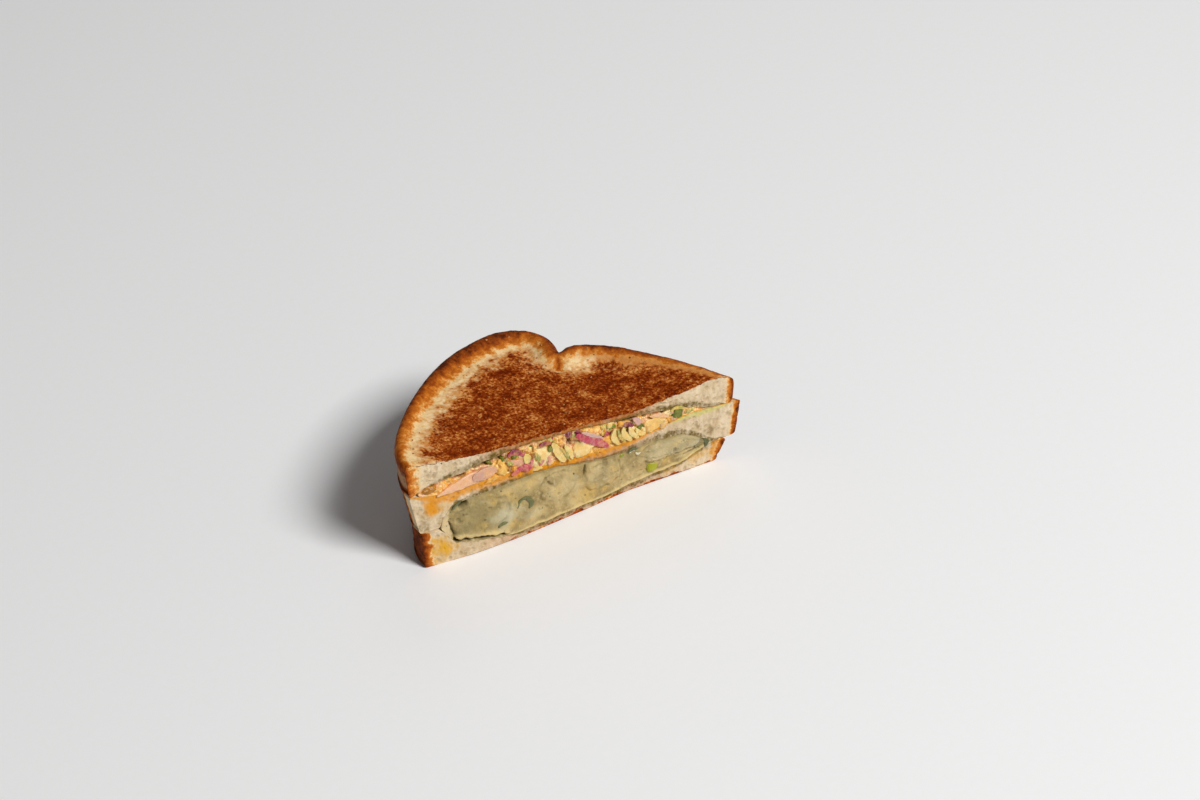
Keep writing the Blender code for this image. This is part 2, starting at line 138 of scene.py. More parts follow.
def smooth_path(points, step):
    """Points about a step apart on a smooth curve through the given points."""
    points = [np.array(point, dtype=float) for point in points]
    path = [points[0]]
    for index in range(len(points) - 1):
        before = points[max(index - 1, 0)]
        start, end = points[index], points[index + 1]
        after = points[min(index + 2, len(points) - 1)]
        length = np.linalg.norm(end - start)
        leave = (end - before) / max(np.linalg.norm(end - before), 1e-6) * length
        arrive = (after - start) / max(np.linalg.norm(after - start), 1e-6) * length
        pieces = max(1, round(length / step))
        for t in np.linspace(0.0, 1.0, pieces + 1)[1:]:
            path.append((2 * t**3 - 3 * t**2 + 1) * start + (t**3 - 2 * t**2 + t) * leave
                        + (3 * t**2 - 2 * t**3) * end + (t**3 - t**2) * arrive)
    return np.array(path)


def crust_path(plan, step):
    """The crust of a half slice as a path from the left to the right end of its cut."""
    path = np.concatenate([smooth_path(CROWN_SIDE, step), smooth_path(LONG_SIDE, step)[1:]])
    left, right, depth = plan
    path[:, 0] = left + (path[:, 0] - PLAN_LEFT) * (right - left) / (PLAN_RIGHT - PLAN_LEFT)
    path[:, 1] = path[:, 1] * depth / PLAN_DEPTH + CUT_Y
    return path


def distance_to(path, x, y):
    """Distance from each (x, y) to an open path."""
    points = np.stack([np.ravel(x), np.ravel(y)], axis=1)
    best = np.full(len(points), np.inf)
    for start, end in zip(path[:-1], path[1:]):
        along = end - start
        t = np.clip((points - start) @ along / (along @ along), 0.0, 1.0)
        best = np.minimum(best, np.linalg.norm(points - start - t[:, None] * along, axis=1))
    return best.reshape(np.shape(x))


def inside(path, x, y):
    """Whether each (x, y) lies between the path and the cut."""
    crossings = np.zeros(np.shape(x), dtype=int)
    for start, end in zip(path, np.roll(path, -1, axis=0)):
        spans = (start[1] > y) != (end[1] > y)
        rise = end[1] - start[1] if end[1] != start[1] else 1e-9
        crossings += spans & (x < start[0] + (y - start[1]) / rise * (end[0] - start[0]))
    return crossings % 2 == 1


COMMON_CRUST = crust_path(TOP_PLANS[1], GUIDE_STEP)


def smoothstep(t):
    """Zero to one with level ends."""
    t = np.clip(t, 0.0, 1.0)
    return t * t * (3.0 - 2.0 * t)


def passed(span, x):
    """Zero before a span of x, one beyond it, smooth in between."""
    return smoothstep((x - span[0]) / (span[1] - span[0]))


def ridge(distance, width):
    """One on a line, fading away with the distance from it."""
    return np.exp(-((distance / width) ** 2))


def away_from(x, z, centre_x, centre_z, half_width, half_height):
    """Distance from the centre of an ellipse on the cut, which is one on its outline."""
    return np.hypot((x - centre_x) / half_width, (z - centre_z) / half_height)


def profile(points, x):
    """Value at x on a smoothed line through a few points."""
    xs, values = zip(*points)
    return np.mean([np.interp(x + shift, xs, values) for shift in SMOOTHING], axis=0)


def pushed_height(face, x, y):
    """Height at each (x, y) to which the fillings push a face between two layers."""
    core, rim_heights = face
    lower = face in (BOTTOM_UPPER, MIDDLE_LOWER)
    ends = [PLAN_LEFT, PLAN_RIGHT]
    rim = np.interp(x, [PLAN_LEFT, PLAN_FAR, PLAN_RIGHT], rim_heights)
    level = np.interp(x, ends, LOWER_LEVEL if lower else UPPER_LEVEL)
    belt = np.interp(x, ends, LOWER_BELT if lower else UPPER_BELT)
    reach = distance_to(COMMON_CRUST, x, y) * inside(COMMON_CRUST, x, np.maximum(y, CUT_Y + 0.01))
    flat = np.stack([np.ravel(x), np.ravel(y), np.zeros(np.size(x))], axis=1)
    uneven = UNEVEN * lumps(flat, UNEVEN_SIZE, 2, 3).reshape(np.shape(x)) if face is not TOP_UPPER else 0.0
    return rim + (profile(core, x) - rim) * smoothstep((reach - level) / belt) + uneven


def interface(face, x, y):
    """Height of a face between two layers at each (x, y); slices that nearly touch lie on each other."""
    height = pushed_height(face, x, y)
    if face is MIDDLE_LOWER or face is TOP_LOWER:
        below = pushed_height(BOTTOM_UPPER if face is MIDDLE_LOWER else MIDDLE_UPPER, x, y)
        gap = np.maximum(height - below, 0.0)
        height = below + gap * smoothstep(gap / SETTLED_GAP)
    return height


def face_height(face, gap=0.0):
    """A height function for one of the named faces."""
    return lambda x, y: interface(face, x, y) + gap


def ground(x, y):
    """The flat face that the half lies on."""
    return np.zeros(np.shape(x))


def fillet(distance, radius):
    """How far a rounded edge of the given radius falls away at a distance from the edge."""
    short = np.clip(radius - distance, 0.0, radius)
    return radius - np.sqrt(np.maximum(radius**2 - short**2, 0.0))


def lumps(points, size, octaves=1, seed=0):
    """Smooth noise from about -1 to 1 at each point, with lumps of the given size."""
    shift = Vector((7.31, 3.17, 11.9)) * (seed + 1)
    values = np.zeros(len(points))
    for octave in range(octaves):
        scale = 2.0**octave / size
        values += [noise.noise(Vector(point) * scale + shift) / 2.0**octave for point in points]
    return values


def distance_to_line(line, x, z):
    """Distance from each (x, z) to a line through a few points."""
    return distance_to(smooth_path(line, LINE_STEP), x, z)


class Layer:
    """A closed body between two faces over a plan, with a crust wall and a cut wall.

    points holds the vertices; over, under, wall and cut say which part of the body each vertex is on. reach
    is its distance from the crust, share its share of the height, thick the height there and edge its
    distance from the nearer face.
    """

    def __init__(self, plans, under, over, roundings, steps=(HIDDEN_STEP, HIDDEN_STEP), rows=SLICE_ROWS,
                 tuck=CRUST_TUCK):
        self.path = crust_path(plans[1], CRUST_STEP)
        left, right = self.path[0, 0], self.path[-1, 0]
        pieces = round((right - left) / CUT_STEP)
        cut = [(x, CUT_Y) for x in np.linspace(right, left, pieces + 1)[1:-1]]
        rim = np.concatenate([self.path, cut])
        tangents = np.gradient(self.path, axis=0)
        self.inward = np.stack([tangents[:, 1], -tangents[:, 0]], axis=1)
        self.inward /= np.linalg.norm(self.inward, axis=1)[:, None]
        sides = []
        for side, (step, rounding) in enumerate(zip(steps, roundings)):
            flat, faces = self.cap(rim, step, rounding)
            sides.append((faces,) + self.cap_heights(flat, plans, under, over, rounding, side))
        (under_faces, lower, lower_reach, lower_thick), (over_faces, upper, upper_reach, upper_thick) = sides
        count, upper_start, rows_start = len(rim), len(lower), len(lower) + len(upper)
        shares = np.arange(1, rows) / rows
        between = [lower[:count] * (1.0 - share) + upper[:count] * share for share in shares]
        self.points = np.concatenate([lower, upper] + between)
        self.reach = np.concatenate([lower_reach, upper_reach, np.tile(upper_reach[:count], rows - 1)])
        self.thick = np.concatenate([lower_thick, upper_thick, np.tile(upper_thick[:count], rows - 1)])
        self.share = np.concatenate([np.zeros(len(lower)), np.ones(len(upper)), np.repeat(shares, count)])
        self.edge = np.minimum(self.share, 1.0 - self.share) * self.thick
        number = np.arange(len(self.points))
        column = np.where(number < upper_start, number, number - upper_start)
        column = np.where(number < rows_start, column, (number - rows_start) % count)
        last = len(self.path) - 1
        on_cut = (column >= last) | (column == 0)
        self.under = number < upper_start
        self.over = ~self.under & (number < rows_start)
        self.cut = (number >= rows_start) & on_cut
        self.wall = (number >= rows_start) & ~on_cut
        self.on_cut_line = (column < count) & on_cut
        self.corners = (column == 0) | (column == last)
        self.column = column

        crust = (column > 0) & (column < last)
        inset = tuck * (2.0 * self.share[crust] - 1.0) ** 4
        self.points[crust, :2] += self.inward[column[crust]] * inset[:, None]

        upper_rim = number[upper_start:upper_start + count]
        grid = np.vstack([number[:count], number[rows_start:].reshape(-1, count), upper_rim])
        ahead = np.roll(grid, -1, axis=1)
        quads = np.stack([grid[:-1], grid[1:], ahead[1:], ahead[:-1]], axis=-1).swapaxes(0, 1).reshape(-1, 4)
        self.faces = under_faces[:, ::-1].tolist() + (over_faces + upper_start).tolist() + quads.tolist()

    def cap(self, rim, step, rounding):
        """Flat triangles over the plan: the rim's vertices first, rings by a rounded edge, then a lattice."""
        extra = [rim]
        for distance in np.array(RING_SHARES) * rounding:
            ring = self.path + self.inward * distance
            clear = distance_to(self.path, *ring.T) > RING_TOLERANCE * distance
            clear &= (ring[:, 1] > CUT_Y + RIM_CLEARANCE) & inside(self.path, *ring.T)
            extra.append(ring[clear])
        margin = rounding + RIM_CLEARANCE
        block, edge, back = self.lattice(min(step, BAND_STEP))
        near = (edge < margin + EDGE_BAND) | (back < EDGE_BAND) | (step <= BAND_STEP)
        extra.append(block[(edge > margin) & near])
        if step > BAND_STEP:
            block, edge, back = self.lattice(step)
            extra.append(block[(edge > margin + EDGE_BAND) & (back > EDGE_BAND)])
        points = [Vector(point) for point in np.concatenate(extra)]
        edges = [(i, (i + 1) % len(rim)) for i in range(len(rim))]
        verts, _, faces, _, _, _ = delaunay_2d_cdt(points, edges, [], 1, 1e-5)
        flat = np.array([tuple(vert) for vert in verts])
        faces = np.array(faces)
        corners = flat[faces]
        turn = corners[:, 1] - corners[:, 0]
        other = corners[:, 2] - corners[:, 0]
        backward = turn[:, 0] * other[:, 1] - turn[:, 1] * other[:, 0] < 0.0
        faces[backward] = faces[backward][:, ::-1]
        return flat, faces

    def lattice(self, step):
        """Staggered points over the plan, and how far each is from the crust and behind the cut."""
        rows = []
        for number, y in enumerate(np.arange(CUT_Y + 0.5 * step, CUT_Y + PLAN_DEPTH, step * math.sqrt(0.75))):
            xs = np.arange(-LATTICE_REACH, LATTICE_REACH, step) + (number % 2) * step / 2.0
            rows.append(np.stack([xs, np.full(len(xs), y)], axis=1))
        block = np.concatenate(rows)
        block = block[inside(self.path, *block.T)]
        return block, distance_to(self.path, *block.T), block[:, 1] - CUT_Y

    def cap_heights(self, flat, plans, under, over, rounding, side):
        """Places, reach and thickness of a cap's vertices; side is 0 for the lower, 1 for the upper face."""
        (low_left, low_right, low_depth), (left, right, depth) = plans
        x, y = flat.T
        low_x = low_left + (x - left) * (low_right - low_left) / (right - left)
        low_y = CUT_Y + (y - CUT_Y) * low_depth / depth
        low, high = under(low_x, low_y), over(x, y)
        reach = distance_to(self.path, x, y)
        fall = fillet(reach, np.minimum(rounding, ROUNDING_SHARE * (high - low)))
        places = (x, y, high - fall) if side else (low_x, low_y, low + fall)
        return np.stack(places, axis=1), reach, high - low

    def push_crust(self, depth):
        """Move the crust wall inward by a depth at each of its vertices."""
        self.points[self.wall, :2] += self.inward[self.column[self.wall]] * depth[:, None]

    def lean_forward(self, shares):
        """Bring the cut forward by the bulge times a share for each vertex, fading out behind the cut."""
        fade = 1.0 - smoothstep((self.points[:, 1] - CUT_Y) / BULGE_FADE)
        self.points[:, 1] -= profile(CUT_BULGE, self.points[:, 0]) * shares * fade

    def settle(self, name, material, numbers, node, sharp=3):
        """Make the piece for a node; sharp is how many of the lower, upper and end edges stay sharp."""
        edges = [self.on_cut_line & self.under, self.on_cut_line & self.over, self.corners][:sharp]
        dress(make_object(name, self.points, self.faces, material, numbers, edges), node)


def tone(red, green, blue):
    """A linear colour from the usual 0 to 255 values."""
    return tuple(((c / 255 + 0.055) / 1.055) ** 2.4 if c > 10 else c / 255 / 12.92
                 for c in (red, green, blue)) + (1.0,)


class Graph:
    """The nodes of one material; most methods add a node and return its output."""

    def __init__(self, name, roughness, specular, soft=0.0, soft_radius=(1.6, 0.9, 0.5)):
        self.material = bpy.data.materials.new(name)
        self.material.use_nodes = True
        self.tree = self.material.node_tree
        self.shader = self.tree.nodes["Principled BSDF"]
        self.put(self.shader, {"Roughness": roughness, "Specular IOR Level": specular,
                               "Subsurface Weight": soft, "Subsurface Radius": soft_radius,
                               "Subsurface Scale": MM})
        self.place = self.add("TexCoord", "Object")

    def put(self, node, values):
        """Link each input of a node to an output, or set it to a number or colour."""
        for name, value in values.items():
            if isinstance(value, bpy.types.NodeSocket):
                self.tree.links.new(value, node.inputs[name])
            else:
                node.inputs[name].default_value = value

    def add(self, kind, output, values=None, **settings):
        """One output of a new node with the given inputs and settings."""
        node = self.tree.nodes.new("ShaderNode" + kind)
        for name, value in settings.items():
            setattr(node, name, value)
        self.put(node, values or {})
        return node.outputs[output]

    def attribute(self, name):
        """A number stored on the mesh."""
        return self.add("Attribute", "Fac", attribute_name=name)

    def noise(self, size, detail=2.0, roughness=0.5, stretch=None):
        """Cloudy noise from 0 to 1 with lumps of the given size in millimetres, stretched along the axes."""
        place = self.place
        if stretch:
            scale = [1.0 / factor for factor in stretch]
            place = self.add("Mapping", "Vector", {"Vector": place, "Scale": scale})
        return self.add("TexNoise", "Fac", {"Vector": place, "Scale": 1.0 / (size * MM), "Detail": detail,
                                            "Roughness": roughness})

    def times(self, first, second):
        """The product of two values."""
        return self.add("Math", 0, {0: first, 1: second}, operation="MULTIPLY")

    def plus(self, first, second):
        """The sum of two values."""
        return self.add("Math", 0, {0: first, 1: second}, operation="ADD")

    def swing(self, value, amount):
        """A 0 to 1 value turned into one from minus to plus the amount."""
        return self.add("MapRange", "Result", {"Value": value, "To Min": -amount, "To Max": amount})

    def band(self, value, low, high):
        """Zero up to low, one from high on, smooth in between."""
        return self.add("MapRange", "Result", {"Value": value, "From Min": low, "From Max": high},
                        interpolation_type="SMOOTHSTEP")

    def blend(self, share, first, second, most=None):
        """A colour from first to second by the share, of which a part is taken where most is given."""
        share = share if most is None else self.times(share, most)
        return self.add("Mix", 2, {0: share, 6: first, 7: second}, data_type="RGBA")

    def ramp(self, value, stops):
        """A colour ramp through (place, colour) stops."""
        shown = self.add("ValToRGB", "Color", {"Fac": value})
        elements = shown.node.color_ramp.elements
        while len(elements) < len(stops):
            elements.new(0.5)
        for element, (place, colour) in zip(elements, stops):
            element.position = place
            element.color = colour
        return shown

    def bump(self, height, depth, strength):
        """Relief from a 0 to 1 height, as deep as given in millimetres."""
        normal = self.add("Bump", "Normal", {"Strength": strength, "Distance": depth * MM, "Height": height})
        self.put(self.shader, {"Normal": normal})

    def finish(self, colour, roughness=None):
        """Set the colour, and where it varies the roughness, and return the material."""
        self.put(self.shader, {"Base Color": colour} if roughness is None
                 else {"Base Color": colour, "Roughness": roughness})
        return self.material


# How far out of the toast the ring is tanned, and the colours of bread
RING_HALO = -5.5
CRUMB_PALE = tone(232, 211, 178)
CRUMB_GREY = tone(202, 177, 139)
CRUMB_DEEP = tone(172, 142, 100)
CRUMB_TAN = tone(178, 108, 50)
RING_TAN = tone(230, 180, 112)
RING_TOAST = tone(204, 126, 54)
RING_PALE = tone(246, 216, 166)
TOAST_RAMP = [(0.36, tone(98, 28, 0)), (0.49, tone(138, 52, 4)), (0.6, tone(184, 98, 34)),
              (0.72, tone(228, 164, 92))]
CRUST_SOFT = tone(206, 162, 120)
CRUST_DARK = tone(84, 34, 8)
CRUST_RAMP = [(0.0, tone(240, 204, 146)), (0.14, tone(228, 160, 82)), (0.3, tone(200, 114, 34)),
              (0.64, tone(154, 72, 16)), (1.0, CRUST_DARK)]
# What soaks the crumb, the olive also painting shade at the middle slice's left end: the attribute, its
# colour, how ragged its edge is and how patchy it is
SOAKS = [("olive", tone(112, 90, 40), 2.2, 0.5), ("lime", tone(206, 196, 118), 0.8, 0.2),
         ("yellow", tone(226, 168, 48), 0.6, 0.3), ("orange", tone(222, 146, 34), 0.6, 0.15)]


def grey(value):
    """A grey stop for a ramp that gives a roughness."""
    return (value, value, value, 1.0)


def bread_material(name):
    """White bread: pale crumb, soaked patches, brown crust and a griddled face, by what the mesh states."""
    graph = Graph(name, roughness=0.88, specular=0.06, soft=0.08)
    fine = graph.noise(0.9, 3.0, 0.6)
    streak = graph.noise(1.9, stretch=(1.0, 1.0, 3.2))
    mixed = graph.plus(graph.times(fine, 0.3), graph.times(streak, 0.4))
    mixed = graph.plus(mixed, graph.times(graph.noise(6.0), 0.3))
    tan = graph.attribute("tan")
    crumb = graph.blend(graph.band(mixed, 0.34, 0.68), CRUMB_PALE, CRUMB_GREY)
    crumb = graph.blend(graph.band(mixed, 0.2, 0.5), crumb, CRUMB_TAN, tan)
    # Painted shade in the pores, darker where a pore is deeper
    crumb = graph.blend(graph.attribute("pore"), crumb, CRUMB_DEEP, 0.5)
    ragged = graph.swing(graph.noise(2.0, 5.0, 0.65), 0.7)
    spots = graph.band(mixed, 0.42, 0.58)
    for attribute, colour, raggedness, patchiness in SOAKS:
        amount = graph.attribute(attribute)
        edge = graph.band(graph.plus(amount, graph.times(ragged, raggedness)), -0.1, 1.1)
        soaked = graph.times(edge, graph.band(amount, 0.0, 0.9))
        patchy = graph.plus(graph.times(spots, patchiness), 1.0 - patchiness)
        crumb = graph.blend(soaked, crumb, colour, patchy)

    ring_cloud = graph.noise(3.0, 5.0, 0.62)
    ring = graph.blend(graph.band(ring_cloud, 0.42, 0.62), RING_PALE, RING_TAN)
    toasted = graph.plus(tan, graph.swing(ring_cloud, 0.9))
    ring = graph.blend(graph.band(toasted, 0.1, 0.9), ring, RING_TOAST, tan)
    speckle = graph.noise(1.15, 5.0, 0.68)
    coarse = graph.swing(graph.noise(5.0, 3.0), 8.0)
    small = graph.swing(graph.noise(1.7, 4.0, 0.62), 7.0)
    edge = graph.plus(graph.attribute("griddle"), graph.plus(coarse, small))
    griddled = graph.band(edge, -1.4, 2.0)
    heat = graph.plus(speckle, graph.swing(graph.noise(6.0, 4.0, 0.6), 0.3))
    heat = graph.plus(heat, graph.times(graph.band(edge, 7.0, 0.0), 0.07))
    ring = graph.blend(graph.band(edge, RING_HALO, 0.5), ring, RING_TOAST, 0.75)
    colour = graph.blend(graph.attribute("ring"), crumb, ring)
    colour = graph.blend(griddled, colour, graph.ramp(heat, TOAST_RAMP))

    crust = graph.attribute("crust")
    mottled = graph.plus(crust, graph.swing(graph.noise(3.0, 5.0, 0.68), 8.0))
    deep = graph.times(mottled, 0.1)
    crust_colour = graph.ramp(deep, CRUST_RAMP)
    crust_colour = graph.blend(graph.band(deep, 0.3, 0.0), crust_colour, RING_TOAST, tan)
    softened = graph.band(graph.noise(4.0, 3.0), 0.28, 0.55)
    crust_colour = graph.blend(softened, crust_colour, CRUST_SOFT, graph.attribute("soft"))
    crust_colour = graph.blend(graph.band(graph.noise(1.0, 3.0), 0.55, 0.72), crust_colour, CRUST_DARK, 0.3)
    crusted = graph.band(graph.plus(crust, graph.swing(graph.noise(2.4, 4.0, 0.6), 3.0)), -3.0, 1.6)
    colour = graph.blend(crusted, colour, crust_colour)

    grain = graph.plus(graph.times(fine, 0.5), graph.times(streak, 0.5))
    grain = graph.plus(grain, graph.times(graph.times(speckle, griddled), 0.8))
    graph.bump(grain, 0.3, 0.7)
    return graph.finish(colour, graph.ramp(crusted, [(0.0, grey(0.9)), (1.0, grey(0.6))]))


def put_in_scene(name, data, place=(0.0, 0.0, 0.0), turn=None):
    """A named object in the scene, at a place and with a turn."""
    thing = bpy.data.objects.new(name, data)
    thing.location = place
    if turn is not None:
        thing.rotation_mode = "QUATERNION"
        thing.rotation_quaternion = turn
    bpy.context.collection.objects.link(thing)
    return thing


def make_object(name, points, faces, material, attributes, sharp=()):
    """A named piece in metres with its material and the numbers that the material reads."""
    low, high = np.array(cad_low) / MM, np.array(cad_high) / MM
    data = bpy.data.meshes.new(name)
    data.from_pydata((np.clip(points, low, high) * MM).tolist(), [], faces)
    for attribute, values in attributes.items():
        layer = data.attributes.new(attribute, "FLOAT", "POINT")
        layer.data.foreach_set("value", np.asarray(values, dtype=np.float32))
    data.shade_smooth()
    if sharp:
        ends = np.empty(len(data.edges) * 2, dtype=np.int64)
        data.edges.foreach_get("vertices", ends)
        marked = np.any([group[ends.reshape(-1, 2)].all(axis=1) for group in sharp], axis=0)
        data.attributes.new("sharp_edge", "BOOLEAN", "EDGE").data.foreach_set("value", marked)
    data.materials.append(material)
    return put_in_scene(name, data)


def dress(piece, node):
    """Let a piece stand for a node, hiding the node's part, and ride with the food."""
    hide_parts(node)
    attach(piece, "root")


# Widths of the rim and of the griddled centre's edge on the top face, measured from the crust: x and width
RIM_WIDTHS = [(-67.5, 5.2), (-62, 6.8), (-55, 7.3), (-42, 8.6), (-26, 9.8), (-12, 10.2), (0, 10.8), (9, 8.8),
              (13, 7.2), (18.6, 7.4), (24, 8.4), (32, 9), (40, 8.6), (47, 8.2), (61, 5.8)]
CENTRE_WIDTHS = [(-62, 10.6), (-57, 12.4), (-50, 13.2), (-39, 14), (-23, 15.2), (-15, 15.2), (-5, 17),
                 (3, 12.8), (9, 10.4), (14.7, 13.4), (20, 14), (29, 12), (36.6, 10.4), (44, 9), (50, 8.2),
                 (58, 6.6)]
# The brown crease that runs inward from the side notch
CREASE = [(16.4, 13), (14.2, 7.6), (12.2, 3.4)]
# Where the rim is painted browner along the crown, as shade toward the rear, and where the pale ring turns to
# toast on the right
RIM_BROWNING = (-52, -12)
RING_FADE = (16, 36)
CREASE_WIDTH = 2.5
CREASE_DEPTH = 0.9
# How deep toast reaches into the crumb, what untoasted crumb reads, how wide the underside's pale rim is,
# and left of which x no toast shows at the foot of the cut
TOAST_CRUMB = 1.8
NO_TOAST = -20.0
BASE_RIM = 11.0
BASE_TOAST_START = -36.0
# How far the griddled face drops at the cut
CUT_EDGE_DROP = 0.6

# Crust that shows at the left and right end of each slice's cut: its width, and how brown it is at the
# end; then how uneven its edge is, and how far the middle slice's left corner is worn off
TOP_CRUST = ((5.0, 5.0), (1.0, 3.6))
MIDDLE_CRUST = ((0.8, 1.6), (0.8, 3.8))
BOTTOM_CRUST = ((4.0, 11.0), (0.8, 5.4))
CRUST_UNEVEN = 0.5
WORN_CORNER = 4.0
# Browning of a crust wall, of crumb, and how much of it each millimetre in from the crust takes away
CRUST_WALL = 8.6
NO_CRUST = -9.0
LIP_FADE = 3.4
# The soft pale band on the top slice's wall: its strength, and where along x it fades out
SOFT_MOST = 0.65
SOFT_CRUST = (-64, -50)

# Bands of soaked crumb on the cut along a slice's edge: (x, width) points
OLIVE_UNDER_TOP = [(-64, 0), (-56, 2.6), (-46, 3.4), (-36, 2.4), (-26, 0.8), (14, 0.6), (30, 2), (44, 3),
                   (60, 2.4), (66, 0)]
ORANGE_OVER_MIDDLE = [(-70, 0), (-66, 3.4), (-58, 4), (-36, 4.4), (-20, 4), (-4, 3.2), (28, 2.8), (38, 2),
                      (48, 0.4)]
OLIVE_UNDER_MIDDLE = [(-56, 0), (-46, 2.2), (-24, 2.2), (-6, 1.2), (8, 0.8), (18, 1.4), (28, 2.6), (44, 3.2),
                      (58, 2.2), (66, 0)]
LIME_OVER_MIDDLE = [(34, 0), (46, 2.8), (58, 3.4), (66, 2), (70, 0)]
OLIVE_OVER_BOTTOM = [(-34, 0), (-26, 2), (0, 2.4), (28, 2.4), (48, 1.8), (56, 3), (62, 2), (66, 0)]
BOTTOM_TAN = 0.35
# Spots on the cut: x, z, half width, half height and strength. Most are soaked crumb; the first two grey
# spots, at the middle slice's left end, are painted shade
ORANGE_SPOTS = [(-62.4, 29.6, 3.8, 6.4, 1), (-55, 29.6, 7, 3.4, 0.9), (-34, 28.4, 9, 2.6, 0.5)]
GREY_SPOTS = [(-66.6, 21, 5, 8, 0.5), (-58, 19, 6, 5, 0.45), (52, 20.6, 9, 3, 0.4), (59, 15.4, 5, 3, 0.5)]
YELLOW_SPOTS = [(-60.8, 7.8, 9, 8.5, 0.85), (-57, 6.2, 4.6, 4, 1), (-62.2, 11.2, 3.6, 5, 0.6),
                (54, 5.4, 9, 4, 0.6), (42, 2.4, 8, 2, 0.5)]
SMEAR_HALO = [(-60, 28.4, 9, 9, 0.55), (-57, 18, 4, 5, 0.35)]
CRUST_GLOW = [(65, 7, 6, 9, 0.8)]

# How thick a slice is where it counts as pressed thin, and over how much more that fades out
THIN = 3.0
THIN_FADE = 3.4
# Pores of the crumb on the cut
PORES_PER_MM2 = 0.4
PORE_RADII = (0.25, 1)
PORE_DEPTH = 0.45
# Right of this x the crust is more wrinkled
RAGGED_END = 52.0


def patches(spots, points, wobble):
    """Strength of the spots at each vertex: soaked crumb, tints of the potato and painted shade."""
    total = np.zeros(len(points))
    for *ellipse, strength in spots:
        away = away_from(points[:, 0], points[:, 2], *ellipse) + wobble
        total = np.maximum(total, strength * (1.0 - smoothstep((away - 0.2) / 1.2)))
    return total


def soaked_band(widths, x, from_edge, wobble):
    """Strength of a band along an edge at each vertex, from its widths along x: soaked crumb, and on the
    potato painted shade and a painted highlight as well.
    """
    width = profile(widths, x)
    share = from_edge / np.maximum(width, 0.1) + 0.6 * wobble
    return np.where(width > 0.1, 1.0 - smoothstep((share - 0.3) / 1.1), 0.0)


def scattered(points, per_mm2, radii, seed):
    """Height from 0 to 1 of round dots strewn over the cut, at each vertex."""
    rng = random.Random(seed)
    left, bottom = points[:, 0].min(), points[:, 2].min()
    right, top = points[:, 0].max(), points[:, 2].max()
    heights = np.zeros(len(points))
    for _ in range(round((right - left) * (top - bottom) * per_mm2)):
        x, z = rng.uniform(left, right), rng.uniform(bottom, top)
        radius = radii[0] + (radii[1] - radii[0]) * rng.random() ** 3
        tall = rng.uniform(0.7, 1.5)
        near = np.abs(points[:, 0] - x) < radius
        away = away_from(points[near, 0], points[near, 2], x, z, radius, radius * tall)
        dot = (radius / radii[1]) ** 0.5 * np.sqrt(np.clip(1.0 - away**2, 0.0, 1.0))
        heights[near] = np.maximum(heights[near], dot)
    return heights


def thinness(layer):
    """One where a slice is pressed thin, zero where it is thick."""
    return 1.0 - smoothstep((layer.thick - THIN) / THIN_FADE)


def roughen_bread(layer, seed):
    """Pores and torn crumb on the cut, and wrinkles on the crust; returns the share of a pore's depth."""
    cut = layer.cut
    face = layer.points[cut]
    pore = np.zeros(len(layer.points))
    pore[cut] = scattered(face, PORES_PER_MM2, PORE_RADII, seed)
    torn = (0.2 + 0.15 * thinness(layer)[cut]) * lumps(face * (1.0, 1.0, 0.35), 2.2, 2, seed)
    torn += 0.3 * lumps(face, 5.0, 1, seed + 1)
    layer.points[cut, 1] += (PORE_DEPTH * pore[cut] + torn) * smoothstep(layer.edge[cut] / 0.5)
    wall = layer.points[layer.wall]
    wrinkle = 0.35 + 0.4 * lumps(wall, 4.0, 3, seed + 2) + 0.15 * lumps(wall, 1.1, 1, seed + 3)
    wrinkle *= 1.0 + smoothstep((wall[:, 0] - RAGGED_END) / 8.0)
    hold = smoothstep(np.minimum(layer.share, 1.0 - layer.share)[layer.wall] / 0.2)
    layer.push_crust(np.maximum(wrinkle, 0.0) * hold)
    return pore


def crust_on_cut(layer, ends):
    """How deep in the crust each vertex of the cut is, from each end's width and browning."""
    left = (layer.points[:, 0] < 0.0)[:, None]
    width, brown = np.where(left, *ends).T
    near = layer.cut | layer.on_cut_line
    width[near] *= 1.0 + CRUST_UNEVEN * lumps(layer.points[near], 3.0, 3, 23)
    return brown * (1.0 - layer.reach / width)


def crust_lip(layer):
    """Browning of a face that lies on a filling: brown at the crust and crumb a little way in."""
    return CRUST_WALL - LIP_FADE * layer.reach


def bread_numbers(layer, pore, ends, cap_crust, wall_soft=0.0):
    """What the bread material reads at each vertex of a slice."""
    count = len(layer.points)
    on_cut = crust_on_cut(layer, ends)
    crust = np.where(layer.cut, np.maximum(on_cut, NO_CRUST), NO_CRUST)
    crust[layer.wall] = CRUST_WALL
    caps = (layer.over | layer.under) & ~layer.on_cut_line
    crust[caps] = cap_crust[caps]
    crust[layer.on_cut_line] = np.maximum(on_cut, cap_crust)[layer.on_cut_line]
    edge = np.abs(2.0 * layer.share - 1.0)
    soft = np.where(layer.wall, wall_soft * (1.0 - smoothstep((edge - 0.35) / 0.5)), 0.0)
    numbers = {name: np.zeros(count) for name in ("ring", "olive", "lime", "yellow", "orange")}
    numbers.update(pore=pore, crust=crust, soft=soft, tan=thinness(layer), griddle=np.full(count, NO_TOAST))
    return numbers


def soak(layer, numbers, bands=(), spots=()):
    """Add bands (name, edge, widths) and spots (name, list) on the cut, of soaked crumb and painted shade;
    edge is under or over.
    """
    shown = layer.cut | layer.on_cut_line
    wobble = 0.5 * lumps(layer.points, 3.4, 3, 5)
    for name, edge, widths in bands:
        from_edge = layer.thick * (layer.share if edge == "under" else 1.0 - layer.share)
        band = soaked_band(widths, layer.points[:, 0], from_edge, wobble)
        numbers[name] = np.maximum(numbers[name], band * shown)
    for name, places in spots:
        numbers[name] = np.maximum(numbers[name], patches(places, layer.points, wobble) * shown)


